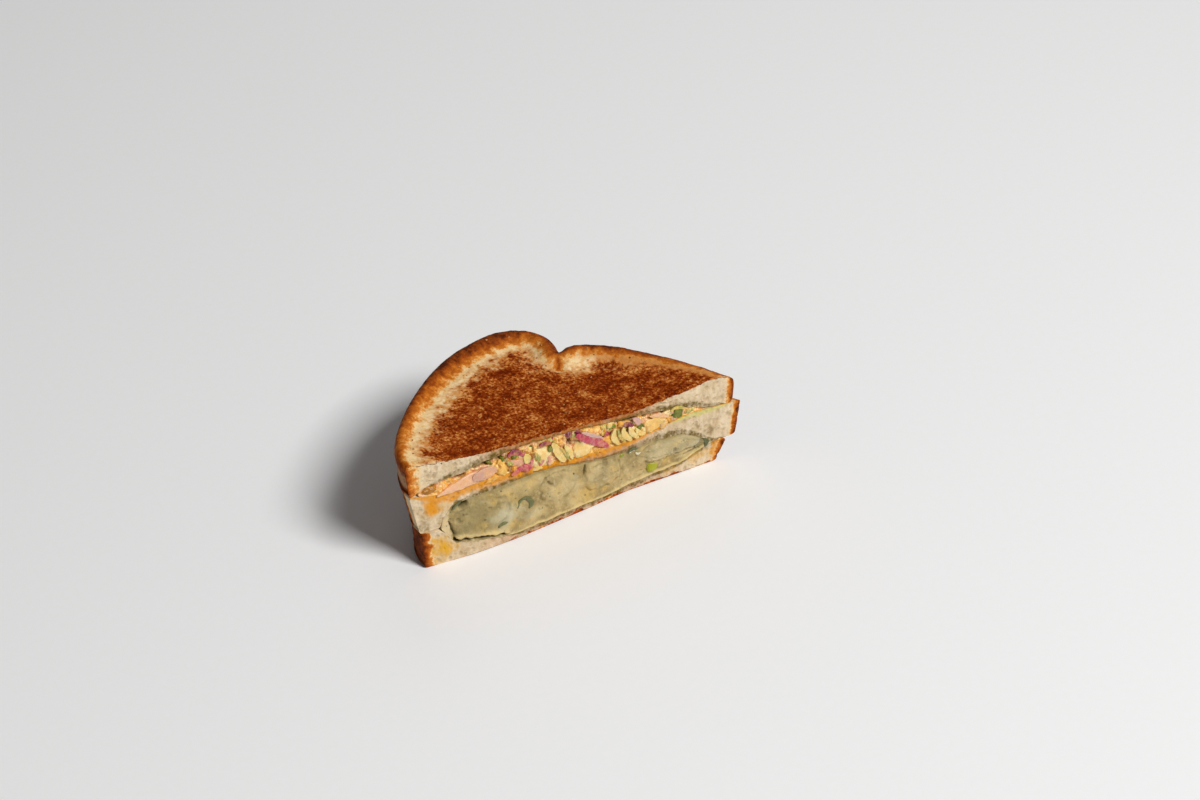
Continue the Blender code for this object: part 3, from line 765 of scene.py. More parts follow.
def make_top_slice(material):
    """The top slice with its griddled face."""
    layer = Layer(TOP_PLANS, face_height(TOP_LOWER), face_height(TOP_UPPER), (PRESSED_ROUNDING, TOP_ROUNDING),
                  steps=(HIDDEN_STEP, SHOWN_STEP))
    pore = roughen_bread(layer, 11)
    over = layer.over
    x, y = layer.points[:, 0], layer.points[:, 1]
    crease = np.full(len(x), 99.0)
    crease[over] = distance_to(np.array(CREASE), x[over], y[over])
    # Painted shade: the rim is darker toward the rear
    browning = 1.15 + 0.45 * passed(RIM_BROWNING, x)
    rim = browning * np.maximum(profile(RIM_WIDTHS, x) - layer.reach, 1.6 * (CREASE_WIDTH - crease))
    lip = np.where(over, np.minimum(rim, CRUST_WALL), crust_lip(layer))
    numbers = bread_numbers(layer, pore, TOP_CRUST, lip, SOFT_MOST * (1.0 - passed(SOFT_CRUST, x)))
    soak(layer, numbers, bands=[("olive", "under", OLIVE_UNDER_TOP)])
    centre = layer.reach - profile(CENTRE_WIDTHS, x)
    numbers["griddle"][over] = centre[over]
    below = (1.0 - layer.share) * layer.thick
    singed = np.where(below < TOAST_CRUMB, centre * (1.0 - below / TOAST_CRUMB) - 3.0 * below, NO_TOAST)
    numbers["griddle"][layer.cut] = singed[layer.cut]
    numbers["ring"][over] = 1.0
    numbers["tan"][over] = 0.9 * passed(RING_FADE, x[over])
    face = layer.points[over]
    pitted = 0.2 * lumps(face, 1.6, 2, 21) + 0.3 * lumps(face, 7.0, 2, 22) - 0.25
    pitted -= CREASE_DEPTH * ridge(crease[over], CREASE_WIDTH)
    edge_drop = CUT_EDGE_DROP * np.clip(1.0 - (face[:, 1] - CUT_Y) / 0.5, 0.0, 1.0)
    edge_drop *= 1.0 + 1.2 * lumps(face, 1.4, 2, 23)
    hold = smoothstep(layer.reach[over] / 2.0)
    layer.points[over, 2] += (np.minimum(pitted, 0.0) - np.maximum(edge_drop, 0.0)) * hold
    layer.settle("top_slice", material, numbers, "bread_top", sharp=1)
    make_crumbs(layer)


def make_middle_slice(material):
    """The untoasted slice between the two fillings, its crust worn off at the left corner."""
    layer = Layer(MIDDLE_PLANS, face_height(MIDDLE_LOWER), face_height(MIDDLE_UPPER), (PRESSED_ROUNDING,) * 2)
    numbers = bread_numbers(layer, roughen_bread(layer, 12), MIDDLE_CRUST, crust_lip(layer))
    behind = layer.points[:, 1] - CUT_Y
    worn = (layer.points[:, 0] < 0.0) & (behind < 2.0 * WORN_CORNER)
    numbers["crust"][worn] = np.minimum(numbers["crust"], 3.0 * (behind - WORN_CORNER))[worn]
    # The grey spots at the left end are painted shade
    soak(layer, numbers,
         bands=[("olive", "under", OLIVE_UNDER_MIDDLE), ("orange", "over", ORANGE_OVER_MIDDLE),
                ("lime", "over", LIME_OVER_MIDDLE)],
         spots=[("orange", ORANGE_SPOTS), ("yellow", SMEAR_HALO), ("olive", GREY_SPOTS)])
    layer.settle("middle_slice", material, numbers, "bread_middle")


def make_bottom_slice(material):
    """The bottom slice, griddled underneath; its toast shows at the foot of the cut, but not at the left."""
    layer = Layer(BOTTOM_PLANS, ground, face_height(BOTTOM_UPPER), (BASE_ROUNDING, PRESSED_ROUNDING),
                  steps=(BASE_STEP, HIDDEN_STEP))
    layer.lean_forward(1.0)
    pore = roughen_bread(layer, 13)
    under = layer.under
    lip = np.where(under, CRUST_WALL - layer.reach, crust_lip(layer))
    numbers = bread_numbers(layer, pore, BOTTOM_CRUST, lip)
    numbers["tan"] *= BOTTOM_TAN
    soak(layer, numbers, bands=[("olive", "over", OLIVE_OVER_BOTTOM)],
         spots=[("yellow", YELLOW_SPOTS), ("orange", CRUST_GLOW)])
    numbers["griddle"][under] = layer.reach[under] - BASE_RIM
    above = layer.share * layer.thick
    reached = 7.5 * smoothstep((layer.points[:, 0] - BASE_TOAST_START) / 5.0) - 4.5
    singed = np.where(above < 2.0 * TOAST_CRUMB, reached - 8.0 * above / TOAST_CRUMB, NO_TOAST)
    numbers["griddle"][layer.cut] = singed[layer.cut]
    numbers["ring"][under] = 1.0
    layer.settle("bottom_slice", material, numbers, "bread_bottom")


# The mashed potato on the cut. Crevices: a line as (x, z) points, its depth and its width
CREVICES = [([(3.4, 20.8), (2.9, 18.6), (2.4, 16.4)], 1.6, 0.35),
            ([(17.8, 17.6), (18.6, 13.2), (18.2, 8.4)], 0.4, 0.3),
            ([(41.1, 11.5), (40.2, 10.2), (38.8, 9.2)], 0.6, 0.25),
            ([(47.3, 8.3), (51.6, 8.7), (55.3, 9.2)], 0.9, 0.3),
            ([(-56.4, 17.6), (-55, 12.6), (-54.4, 8.8)], 1.1, 0.3),
            ([(-13.4, 19.6), (-12.2, 18.2)], 0.7, 0.6), ([(28, 14.6), (33.6, 12.6), (39.4, 11.6)], 0.3, 0.3)]
# The ledge at the lower left: the crack under it, painted dark as shade, and its lit lip, which gets a
# painted highlight
LEDGE_CRACK = [(-54.4, 8.8), (-46.4, 6.9), (-38.9, 4.8), (-32.4, 3.2)]
LEDGE_CRACK_DEPTH = 3.0
LEDGE_CRACK_WIDTH = 0.6
LEDGE_LIP = [(-53.8, 10.6), (-46.4, 8.9), (-39.2, 6.7), (-32.6, 4.6)]
LEDGE_LIP_WIDTH = 0.9
LEDGE_LIP_PROUD = 0.7
# Chunks: centre (x, z), half width, half height, proud of the face, and paler or darker than the rest
CHUNKS = [(11, 13.4, 8.2, 6.2, 0.7, 0.3), (42, 15, 14, 5, 0.7, 0.5), (-43, 15.6, 12, 6.6, 0.6, -0.4),
          (-9.6, 16.2, 7.6, 6.4, 0.4, 0.2), (25, 10.8, 5.6, 6, 0.3, 0.1)]
CHUNK_SQUARENESS = 2.6
# Zones with more of one tint: x, z, half width, half height and strength
PALE_ZONES = [(-33, 12, 8, 5.4, 0.9), (-21, 8.6, 5, 3, 0.5), (52, 12.6, 5, 2.4, 0.8), (-2, 15, 3, 5, 0.4)]
# The hollow at the upper left: x, z, half width and half height
HOLE = (-50.2, 24.2, 2.2, 1.7)
HOLE_DEPTH = 3.4
POTATO_INSET = 0.15
# Left of this x, what shows between the slices is crumb pressed into the potato
CRUMB_FROM = -55.6
# Pits and proud bits strewn over the face: how many on a square millimetre, and their radii
POTATO_PITS = (0.02, (0.4, 1.2))
PIT_DEPTH = 0.6
POTATO_BITS = (0.08, (0.4, 1.8))
BIT_PROUD = 0.3
POTATO_TONES = (tone(200, 174, 118), tone(162, 138, 86), tone(224, 204, 158), tone(216, 178, 96))
# What tints the potato: the attribute, its colour and the most of it. The yellow also paints a highlight on
# the lit lip and the lower edge, and the olive paints shade under the middle slice
POTATO_TINTS = [("olive", tone(134, 120, 74), 0.85), ("pale", tone(206, 200, 166), 0.7),
                ("yellow", tone(238, 210, 144), 0.6), ("crumb", tone(214, 188, 142), 1)]
POTATO_CREVICE = tone(62, 54, 18)
HERB_TONES = (tone(90, 94, 50), tone(116, 116, 64), tone(122, 126, 94))
PEA_TONES = (tone(170, 168, 10), tone(140, 144, 8))
SHRED_TONES = (tone(232, 222, 192), tone(206, 196, 158))
OLIVE_ZONES = [(-46, 17, 15, 11, 0.8), (-26, 15, 9, 9, 0.45), (57, 12, 6, 6, 0.9), (20, 18, 7, 4, 0.5),
               (-6, 11, 6, 4, 0.3)]
# A darker olive band along the top edge, under the middle slice: painted shade, with some soak
OLIVE_OVER_POTATO = [(-58, 3), (-30, 2.2), (0, 1), (20, 1.6), (60, 3)]
# A pale yellow band along the lower edge: the bottom slice's crumb, and a painted highlight where the edge
# catches the light
YELLOW_UNDER_POTATO = [(-32, 0), (-22, 1.2), (40, 1.4), (56, 1)]

# Things in the potato. Leaves and shreds: centre line, widths, thickness, proud of the cut, tilt and tint
LEAVES = [([(-27.4, 12.8), (-26.8, 15.4), (-24.6, 16.8), (-22.2, 15.4), (-21.6, 12.8), (-23, 11)],
           (0.7, 1.2, 1.4, 2, 2.3, 1.1), 0.8, 0.1, 0, 0.35),
          ([(56.8, 13), (58, 11), (57.4, 8.6)], (1.2, 2.2, 1), 0.7, 0, 0, 0.1),
          ([(-54.6, 23), (-53, 24.8), (-50.8, 25.8)], (0.8, 1.4, 0.8), 0.7, 0.3, 0, 0.2),
          ([(-36.6, 8.2), (-34.4, 9.2), (-32, 9)], (0.8, 1.5, 0.8), 0.7, 0.5, 0, 0.5),
          ([(21.6, 20.2), (23.8, 20.9), (26.2, 20.4)], (0.9, 1.5, 0.9), 0.7, 0.5, 0, 0.2)]
WHITE_SHREDS = [([(-52.4, 23.8), (-50.6, 25.2), (-48.4, 25)], (0.6, 1.1, 0.6), 0.7, -1, 0, 0.1),
                ([(-51, 22.6), (-49.6, 24), (-48, 23.8)], (0.5, 0.9, 0.5), 0.6, -0.8, 0, 0.3),
                ([(22.4, 19), (23.6, 20.2), (25, 19.6)], (0.6, 1.2, 0.6), 0.7, 0.3, 0, 0.1),
                ([(25.2, 18.4), (26.2, 17.6), (27.4, 17.8)], (0.5, 0.9, 0.5), 0.6, 0.4, 0, 0.3)]
PEAS = [((33.2, 7.9), (5.2, 4, 5.2), 0.8, 2.1, 0.2), ((19.4, 19), (2.4, 1.8, 1.6), 0.4, 2.2, 0.9)]
FLECKS = 18
FLECK_SIZES = (0.4, 1.1)
FLECKS_WITHIN = 0.42


def potato_material():
    """Moist mashed potato, olive to pale from place to place, with painted shade in its crevices and hollows
    and a painted highlight on its lit lip.
    """
    graph = Graph("mashed_potato", roughness=0.5, specular=0.3, soft=0.15, soft_radius=(2.0, 1.3, 0.6))
    cloud = graph.noise(6.0, 4.0)
    mash = graph.noise(1.5, 4.0, 0.65)
    colour = graph.blend(graph.band(cloud, 0.36, 0.64), POTATO_TONES[0], POTATO_TONES[1])
    colour = graph.blend(graph.band(mash, 0.5, 0.7), colour, POTATO_TONES[2], 0.5)
    colour = graph.blend(graph.band(graph.noise(9.0, 4.0, 0.6), 0.5, 0.68), colour, POTATO_TONES[3], 0.7)
    ragged = graph.swing(graph.noise(2.4, 4.0, 0.6), 0.5)
    for attribute, tint, most in POTATO_TINTS:
        amount = graph.attribute(attribute)
        share = graph.band(graph.plus(amount, graph.times(ragged, amount)), 0.0, 1.1)
        colour = graph.blend(share, colour, tint, most)
    # Dark specks at random, then painted shade in the crevices, chunk outlines, crack, hollow and pits
    colour = graph.blend(graph.band(graph.noise(1.3, 3.0), 0.64, 0.74), colour, POTATO_CREVICE, 0.3)
    colour = graph.blend(graph.attribute("crevice"), colour, POTATO_CREVICE)
    graph.bump(graph.plus(graph.times(mash, 0.8), graph.noise(0.5)), 0.3, 0.7)
    return graph.finish(colour, graph.ramp(cloud, [(0.35, grey(0.42)), (0.7, grey(0.64))]))


def chunk_masks(x, z):
    """How far each chunk reaches at every vertex, from 1 inside to 0 outside, and how near its outline is."""
    for chunk_x, chunk_z, half_width, half_height, proud, pale in CHUNKS:
        across = np.abs((x - chunk_x) / half_width) ** CHUNK_SQUARENESS
        upward = np.abs((z - chunk_z) / half_height) ** CHUNK_SQUARENESS
        away = (across + upward) ** (1 / CHUNK_SQUARENESS)
        outline = ridge((away - 1.0) * min(half_width, half_height), 0.45)
        yield 1.0 - smoothstep((away - 0.7) / 0.45), outline, proud, pale


def make_potato():
    """The mashed potato: a layer whose cut face has the chunks, crevices and hollows that show."""
    layer = Layer((POTATO_PLAN,) * 2, face_height(BOTTOM_UPPER, TOUCH), face_height(MIDDLE_LOWER, -TOUCH),
                  (POTATO_ROUNDING,) * 2, rows=POTATO_ROWS, tuck=0.0)
    layer.lean_forward(1.0 - layer.share)
    cut = layer.cut
    face = layer.points[cut]
    x = face[:, 0] + 0.8 * lumps(face, 3.0, 3, 31)
    z = face[:, 2] + 0.8 * lumps(face, 3.0, 3, 32)
    depth = POTATO_INSET - 0.4 * lumps(face, 5.0, 3, 33) - 0.16 * lumps(face, 1.8, 3, 34)
    # dark is painted shade: in the chunk outlines, the crevices, the crack under the ledge, the hollow and
    # the pits
    dark, pale = np.zeros((2, len(face)))
    broken = smoothstep(0.5 + lumps(face, 4.0, 2, 37))
    for mask, outline, proud, paleness in chunk_masks(x, z):
        depth += 0.5 * outline * broken - proud * mask
        dark = np.maximum(dark, 0.36 * outline * broken)
        pale = np.where(np.abs(paleness) * mask > np.abs(pale), paleness * mask, pale)
    for line, deep, width in CREVICES:
        away = distance_to_line(line, x, z)
        depth += deep * ridge(away, width) + 0.25 * deep * ridge(away, 4.0 * width)
        dark = np.maximum(dark, min(0.85, 0.8 * deep) * ridge(away, width))
    crack = 1.0 - smoothstep(distance_to_line(LEDGE_CRACK, x, z) / LEDGE_CRACK_WIDTH - 0.5)
    lip = ridge(distance_to_line(LEDGE_LIP, x, z), LEDGE_LIP_WIDTH)
    hole = 1.0 - smoothstep((away_from(x, z, *HOLE) - 0.6) / 0.5)
    pits = scattered(face, *POTATO_PITS, 38)
    bits = scattered(face, *POTATO_BITS, 39)
    depth += LEDGE_CRACK_DEPTH * crack - LEDGE_LIP_PROUD * lip + HOLE_DEPTH * hole
    depth += PIT_DEPTH * pits - BIT_PROUD * bits
    dark = np.maximum.reduce([dark, 0.95 * crack, 0.95 * hole, 0.3 * pits])
    layer.points[cut, 1] += depth * smoothstep(layer.edge[cut] / 0.8)
    layer.push_crust(0.5 - 0.9 * lumps(layer.points[layer.wall], 5.5, 3, 35))
    points = layer.points
    wobble = 0.4 * lumps(points, 4.0, 2, 36)
    above, below = layer.thick * (1.0 - layer.share), layer.thick * layer.share
    # Painted shade along the top edge, under the middle slice
    border = 0.6 * soaked_band(OLIVE_OVER_POTATO, points[:, 0], above, wobble)
    numbers = {"olive": np.maximum(patches(OLIVE_ZONES, points, wobble), border),
               "pale": patches(PALE_ZONES, points, wobble),
               "yellow": soaked_band(YELLOW_UNDER_POTATO, points[:, 0], below, wobble),
               "crevice": np.zeros(len(points)), "crumb": np.zeros(len(points))}
    numbers["crevice"][cut] = dark
    numbers["crumb"][cut] = smoothstep((CRUMB_FROM - x) / 0.8)
    numbers["pale"][cut] = np.maximum.reduce([numbers["pale"][cut], pale, 0.25 * bits])
    numbers["olive"][cut] = np.maximum(numbers["olive"][cut], -pale)
    # Painted highlight in yellow on the lit lip
    numbers["yellow"][cut] = np.maximum(numbers["yellow"][cut], lip)
    layer.settle("mashed_potato", potato_material(), numbers, "potato_filling")
    make_potato_extras(layer)


def make_potato_extras(layer):
    """Leaves, a pea and pale shreds that show in the potato, each in its place on its cut face."""
    rng = random.Random(38)
    face = layer.points[layer.cut]
    inner = np.flatnonzero(np.abs(layer.share[layer.cut] - 0.5) < FLECKS_WITHIN)
    flecks = []
    for number in range(FLECKS):
        place = face[inner[rng.randrange(len(inner))]]
        size = rng.uniform(*FLECK_SIZES)
        shape = (size, 0.5, size * rng.uniform(0.35, 0.9))
        flecks.append(strewn(rng, place, shape, 2.2, 300 + number, rough=0.3, subdivisions=2))
    node = "potato_filling"
    join("herb_leaves", cut_strips(LEAVES, 311, layer) + flecks,
         shred_material("herb", HERB_TONES, 0.6), node)
    join("pea", cut_boulders(PEAS, 321, layer, rough=0.1), shred_material("pea", PEA_TONES, 1.2), node)
    join("pale_shreds", cut_strips(WHITE_SHREDS, 331, layer),
         shred_material("pale_shred", SHRED_TONES, 0.6), node)


# The shredded filling on the cut. Strips: centre line as (x, z), widths along it, thickness, how far its
# middle stands proud of the cut, tilt in degrees and tint from 0 to 1
SLAB = [([(-60.6, 32), (-54.6, 33), (-47.4, 34.1), (-39.6, 34.8)], (1.2, 3.6, 5.4, 5.6), 2.6, 0.3, 10, 0.25),
        ([(-46, 34.5), (-41, 35.1), (-35.6, 35.3)], (4, 5.2, 4), 2.2, 0.8, 5, 0.75),
        ([(31, 34.3), (35.4, 33), (40, 30.8)], (1.4, 2.2, 1.2), 1.8, 0.7, 20, 0.3),
        ([(-31.4, 36.6), (-28, 35), (-24.8, 34.6)], (1.6, 2.6, 1.6), 1.8, 0.6, 20, 0.6)]
ONION = [([(-31.2, 39), (-28.2, 39.9), (-24.6, 38.4)], (1.4, 3, 1.8), 1.8, 0.5, 20, 0.8),
         ([(-17.4, 38.4), (-14.6, 38.8), (-12, 38)], (1, 2, 1.2), 1.4, 0.4, 10, 0.85),
         ([(-1.8, 38), (4.2, 34), (8.2, 31), (12.8, 27.2)], (1.8, 4.4, 3.8, 1.6), 2.2, 1, -15, 0.45),
         ([(0.6, 38.4), (5.6, 35.4), (10, 32.2)], (0.8, 1.5, 0.8), 1.4, 1.3, -15, 0.05),
         ([(17.6, 34.2), (20.8, 34.4), (24, 32.4)], (1, 1.9, 1.2), 1.5, 0.7, 0, 0.9),
         ([(23.8, 35.8), (25.8, 33.8), (26.4, 31.6)], (1.4, 2.6, 1.8), 1.6, 0.4, 15, 0.1),
         ([(-29.6, 29.8), (-27, 30.6), (-24.6, 32.2)], (1.2, 2.4, 1.6), 1.8, 0.8, 0, 0.5),
         ([(-21.4, 34.6), (-20.6, 32.4), (-20.8, 30)], (0.8, 1.4, 0.8), 1.4, 0.6, 0, 0.35)]
ONION_BITS = [((-22.8, 30.6), (4.6, 3.4, 4.2), 1, 2.2, 0.5)]
CABBAGE = [([(-23.4, 37.2), (-22.6, 34.8), (-22.8, 32.4)], (2.2, 3, 2.2), 1.8, 0.6, 20, 0.5),
           ([(-19.2, 37), (-18.2, 34), (-16.4, 31)], (1, 2, 1.2), 1.6, 1, -15, 0.95),
           ([(-12, 38.2), (-9.6, 33.6), (-6.4, 27.2)], (2, 3.6, 2.6), 2, 0.9, 10, 0.3),
           ([(-8.6, 35.2), (-6.2, 31.2), (-4.4, 26.8)], (0.8, 1.4, 0.8), 1.6, 1.3, -10, 1),
           ([(-6.6, 34.8), (-4.2, 30.8), (-3.2, 27.2)], (1.4, 2.4, 1.6), 1.8, 0.8, 15, 0.35),
           ([(15.6, 34.2), (15, 30.4), (17.6, 25.8)], (1.2, 2.6, 1.4), 2, 0.7, -10, 0.35),
           ([(17, 34), (17.4, 30.6), (20.2, 26.2)], (0.9, 1.3, 0.9), 1.6, 1.3, 0, 0.9),
           ([(19.4, 33.8), (19.6, 30.4), (23, 25.8)], (1.4, 2.6, 1.6), 2, 1, 15, 0.3),
           ([(21.8, 33), (22.8, 29.8), (26.2, 26)], (1.2, 2.2, 1.4), 2, 1.1, -15, 0.25),
           ([(25, 31), (26, 28.8), (29, 26.4)], (1.2, 2.2, 1.6), 1.8, 0.8, 0, 0.3),
           ([(40.2, 32.6), (43, 33.6), (47.4, 31.8)], (0.8, 1.6, 0.8), 1.4, 0.4, 0, 0.8)]
# Blunt pieces: centre (x, z), size along x, y and z, proud of the cut, squareness, tint
CREAM_CHUNKS = [((-15.4, 32.4), (10.4, 6, 10.4), 0.3, 2.4, 0.15),
                ((-12.6, 29.8), (3.4, 4, 4.4), 0.9, 2.4, 0.95), ((-25.8, 32.4), (10, 6, 8.6), 0, 2.6, 0.9),
                ((2.2, 29.8), (8.8, 5, 8), 0.6, 3.2, 0.2), ((33.2, 29.6), (9.4, 5, 7.2), 0.6, 3.2, 0.5),
                ((37.6, 28.2), (4.4, 4, 4.6), 0.8, 2.6, 0.7), ((-17.6, 28.6), (5.4, 4, 4), 0.4, 2.4, 0.45),
                ((17, 30.4), (4, 4, 5.4), 0.2, 2.4, 0.3), ((24, 28.8), (5.6, 4, 4.6), 0.2, 2.4, 0.2)]
SAUCE_BLOBS = [((-63.2, 35.6), (6.6, 4, 3.2), 0.3, 2.2, 0), ((-33.2, 33.8), (5.4, 5, 7.8), 0.7, 2.2, 0.9),
               ((-28.4, 32.6), (2.4, 2.4, 2.4), 1.4, 2.1, 0.5), ((12.2, 28.6), (6.6, 5, 5.6), 0.5, 2.3, 0.7),
               ((-37, 30.8), (8, 4, 2.8), 0.3, 2.2, 0.7), ((-7.6, 28.4), (4.4, 4, 3.4), 0.5, 2.3, 0.8),
               ((9, 26.2), (6, 4, 2.6), 0.4, 2.2, 0.6), ((40.4, 28.6), (4.4, 4, 3.2), 0.3, 2.3, 0.6)]
GREEN_DICE = [((44.2, 30.7), (5, 4.4, 4.8), 0.6, 3.6, 0.5), ((14.6, 34.8), (4.6, 3.4, 2.2), 0.1, 2.4, 0.1),
              ((-27.8, 37.6), (2.6, 2.4, 1.8), 0.6, 2.4, 0.3), ((-12.6, 35.4), (2, 2, 2.6), 1, 2.3, 0.8)]
# Gaps round the pieces, sunk and painted dark as shade: x, z, half width, half height and depth
GAPS = [(-40.6, 39, 5, 1.3, 3), (-50.6, 37, 2.6, 1, 2.4), (22.6, 35.6, 4.6, 1.2, 2.6),
        (-3.6, 34.6, 1.6, 2, 2.6), (-33.6, 38.8, 2, 1.4, 2), (-20.2, 37.8, 1, 2, 2),
        (29.4, 34.8, 1.2, 1.6, 2), (38, 33.2, 3, 0.9, 2)]
# Small bits over the cut, and shreds along the far edge: how many, and the share of each kind
SMALL_BITS = 170
BIT_SIZES = (1.2, 3.4)
BIT_KINDS = {"onion": 0.16, "cabbage": 0.3, "cream": 0.28, "green": 0.08, "sauce": 0.18}
BITS_FROM = -38.0
BITS_WITHIN = 0.44
BITS_LEAST_ROOM = 2.5
FAR_PIECES = 90
FAR_SHRED_LENGTH = (6, 12)
FAR_LEAST_STEPS = 6
FAR_LEAST_ROOM = 1.6
FAR_KINDS = {"onion": 0.3, "cabbage": 0.6, "green": 0.1}
# How deep a blunt piece's centre lies, as a share of its depth, and the most that it is turned
CENTRE_SUNK = 0.42
SPIN_MOST = 0.35
# Where the knife cut a piece off: a share of how proud it stood, and a little more, give or take
SHAVE_SHARE = 0.8
SHAVE_PROUD = 0.3
SHAVE_UNEVEN = 0.2
STRIP_STEP = 0.5
STRIP_SIDES = 16
STRIP_UNEVEN = 0.26


def ribbon(path, widths, thickness, facing, seed):
    """A bent strip along a path in space, flat side towards facing; returns vertices and faces."""
    path = smooth_path(path, STRIP_STEP)
    shares = np.linspace(0.0, 1.0, len(path))
    width = np.interp(shares, np.linspace(0.0, 1.0, len(widths)), widths)
    tip = np.sqrt(np.clip(1.0 - np.abs(2.0 * shares - 1.0) ** 5, 0.03, 1.0))
    ahead = np.gradient(path, axis=0)
    ahead /= np.linalg.norm(ahead, axis=1)[:, None]
    side = np.cross(ahead, facing)
    side /= np.linalg.norm(side, axis=1)[:, None]
    points = []
    for place, across, out, wide, taper in zip(path, side, np.cross(side, ahead), width, tip):
        for corner in range(STRIP_SIDES):
            angle = 2.0 * math.pi * corner / STRIP_SIDES
            c, s = math.cos(angle), math.sin(angle)
            points.append(place + across * (0.5 * wide * taper * math.copysign(abs(c) ** 0.6, c))
                          + out * (0.5 * thickness * taper * math.copysign(abs(s) ** 0.75, s)))
    points = np.array(points)
    points += STRIP_UNEVEN * np.stack([lumps(points, 1.8, 2, seed + axis) for axis in range(3)], axis=1)
    grid = np.arange(len(points)).reshape(-1, STRIP_SIDES)
    turned = np.roll(grid, -1, axis=1)
    quads = np.stack([grid[:-1], turned[:-1], turned[1:], grid[1:]], axis=-1).reshape(-1, 4)
    return points, quads.tolist() + [grid[0, ::-1].tolist(), grid[-1].tolist()]


def boulder(centre, size, squareness, spin, seed, rough, subdivisions=4):
    """A blunt irregular piece: a sphere pressed towards a box, turned about Y; returns vertices and faces."""
    mesh = bmesh.new()
    bmesh.ops.create_icosphere(mesh, subdivisions=subdivisions, radius=1.0)
    directions = np.array([tuple(vert.co) for vert in mesh.verts])
    faces = [tuple(vert.index for vert in face.verts) for face in mesh.faces]
    mesh.free()
    reach = (np.abs(directions) ** squareness).sum(axis=1) ** (-1.0 / squareness)
    points = directions * reach[:, None] * (1.0 + rough * lumps(directions * 4.0, 2.4, 3, seed))[:, None]
    x, y, z = (points * (0.5 * np.array(size))).T
    c, s = math.cos(spin), math.sin(spin)
    return np.stack([x * c - z * s, y, x * s + z * c], axis=1) + np.array(centre), faces


def strewn(rng, place, shape, squareness, seed, **looks):
    """One of many small bits, with a spin and a tint by chance; returns vertices, faces and tint."""
    points, faces = boulder(place, shape, squareness, rng.uniform(0.0, math.pi), seed, **looks)
    return points, faces, rng.random()


def join(name, parts, material, node):
    """One piece from many small bodies of one kind, each given as vertices, faces and its tint."""
    points, faces, tints = [], [], []
    start = 0
    for part_points, part_faces, tint in parts:
        points.append(part_points)
        faces += [tuple(index + start for index in face) for face in part_faces]
        tints.append(np.full(len(part_points), tint))
        start += len(part_points)
    piece = make_object(name, np.concatenate(points), faces, material, {"tint": np.concatenate(tints)})
    mesh = bmesh.new()
    mesh.from_mesh(piece.data)
    bmesh.ops.recalc_face_normals(mesh, faces=mesh.faces)
    mesh.to_mesh(piece.data)
    mesh.free()
    dress(piece, node)


def cut_depth(layer, x, z):
    """The Y of a layer's cut face nearest to (x, z)."""
    face = layer.points[layer.cut]
    return face[np.argmin((face[:, 0] - x) ** 2 + (face[:, 2] - z) ** 2), 1]


def shaved(points, level, proud, seed):
    """Cut a piece off flat, as the knife did, where it stands proud of a level; some unevenness stays."""
    limit = level - SHAVE_SHARE * proud - SHAVE_PROUD + SHAVE_UNEVEN * lumps(points, 1.6, 2, seed)
    points[:, 1] = np.maximum(points[:, 1], limit)
    return points


def cut_strips(strips, seed, layer=None):
    """Strips that show on a layer's own relief where one is given, or else on the cut plane."""
    parts = []
    for number, (line, widths, thickness, proud, tilt, tint) in enumerate(strips):
        level = np.median([cut_depth(layer, x, z) for x, z in line]) if layer else CUT_Y
        path = [(x, level - proud, z) for x, z in line]
        turn = math.radians(tilt)
        facing = (math.sin(turn) * 0.3, -math.cos(turn), math.sin(turn))
        points, faces = ribbon(path, widths, thickness, facing, seed + number)
        parts.append((shaved(points, level, proud, seed + number), faces, tint))
    return parts


def cut_boulders(pieces, seed, layer=None, rough=0.3):
    """Blunt pieces that show on a layer's own relief where one is given, or else on the cut plane."""
    rng = random.Random(seed)
    parts = []
    for number, ((x, z), size, proud, squareness, tint) in enumerate(pieces):
        level = cut_depth(layer, x, z) if layer else CUT_Y
        centre = (x, level - proud + CENTRE_SUNK * size[1], z)
        spin = rng.uniform(-SPIN_MOST, SPIN_MOST)
        points, faces = boulder(centre, size, squareness, spin, seed + number, rough=rough)
        parts.append((shaved(points, level, proud, seed + number), faces, tint))
    return parts


def small_bits(layer, seed):
    """Small pieces of every kind, strewn over the cut of the shredded filling."""
    rng = random.Random(seed)
    kinds = {name: [] for name in BIT_KINDS}
    face = layer.points[layer.cut]
    inner = (np.abs(layer.share[layer.cut] - 0.5) < BITS_WITHIN) & (layer.thick[layer.cut] > BITS_LEAST_ROOM)
    inner = np.flatnonzero(inner & (face[:, 0] > BITS_FROM))
    for number in range(SMALL_BITS):
        place = face[inner[rng.randrange(len(inner))]] + (0.0, rng.uniform(-0.3, 0.5), 0.0)
        size = rng.uniform(*BIT_SIZES)
        shape = (size, 0.6 * size, size * rng.uniform(0.4, 1.0))
        kind = rng.choices(tuple(BIT_KINDS), tuple(BIT_KINDS.values()))[0]
        squareness = rng.uniform(2.2, 3.4)
        kinds[kind].append(strewn(rng, place, shape, squareness, seed + number, rough=0.25, subdivisions=3))
    return kinds


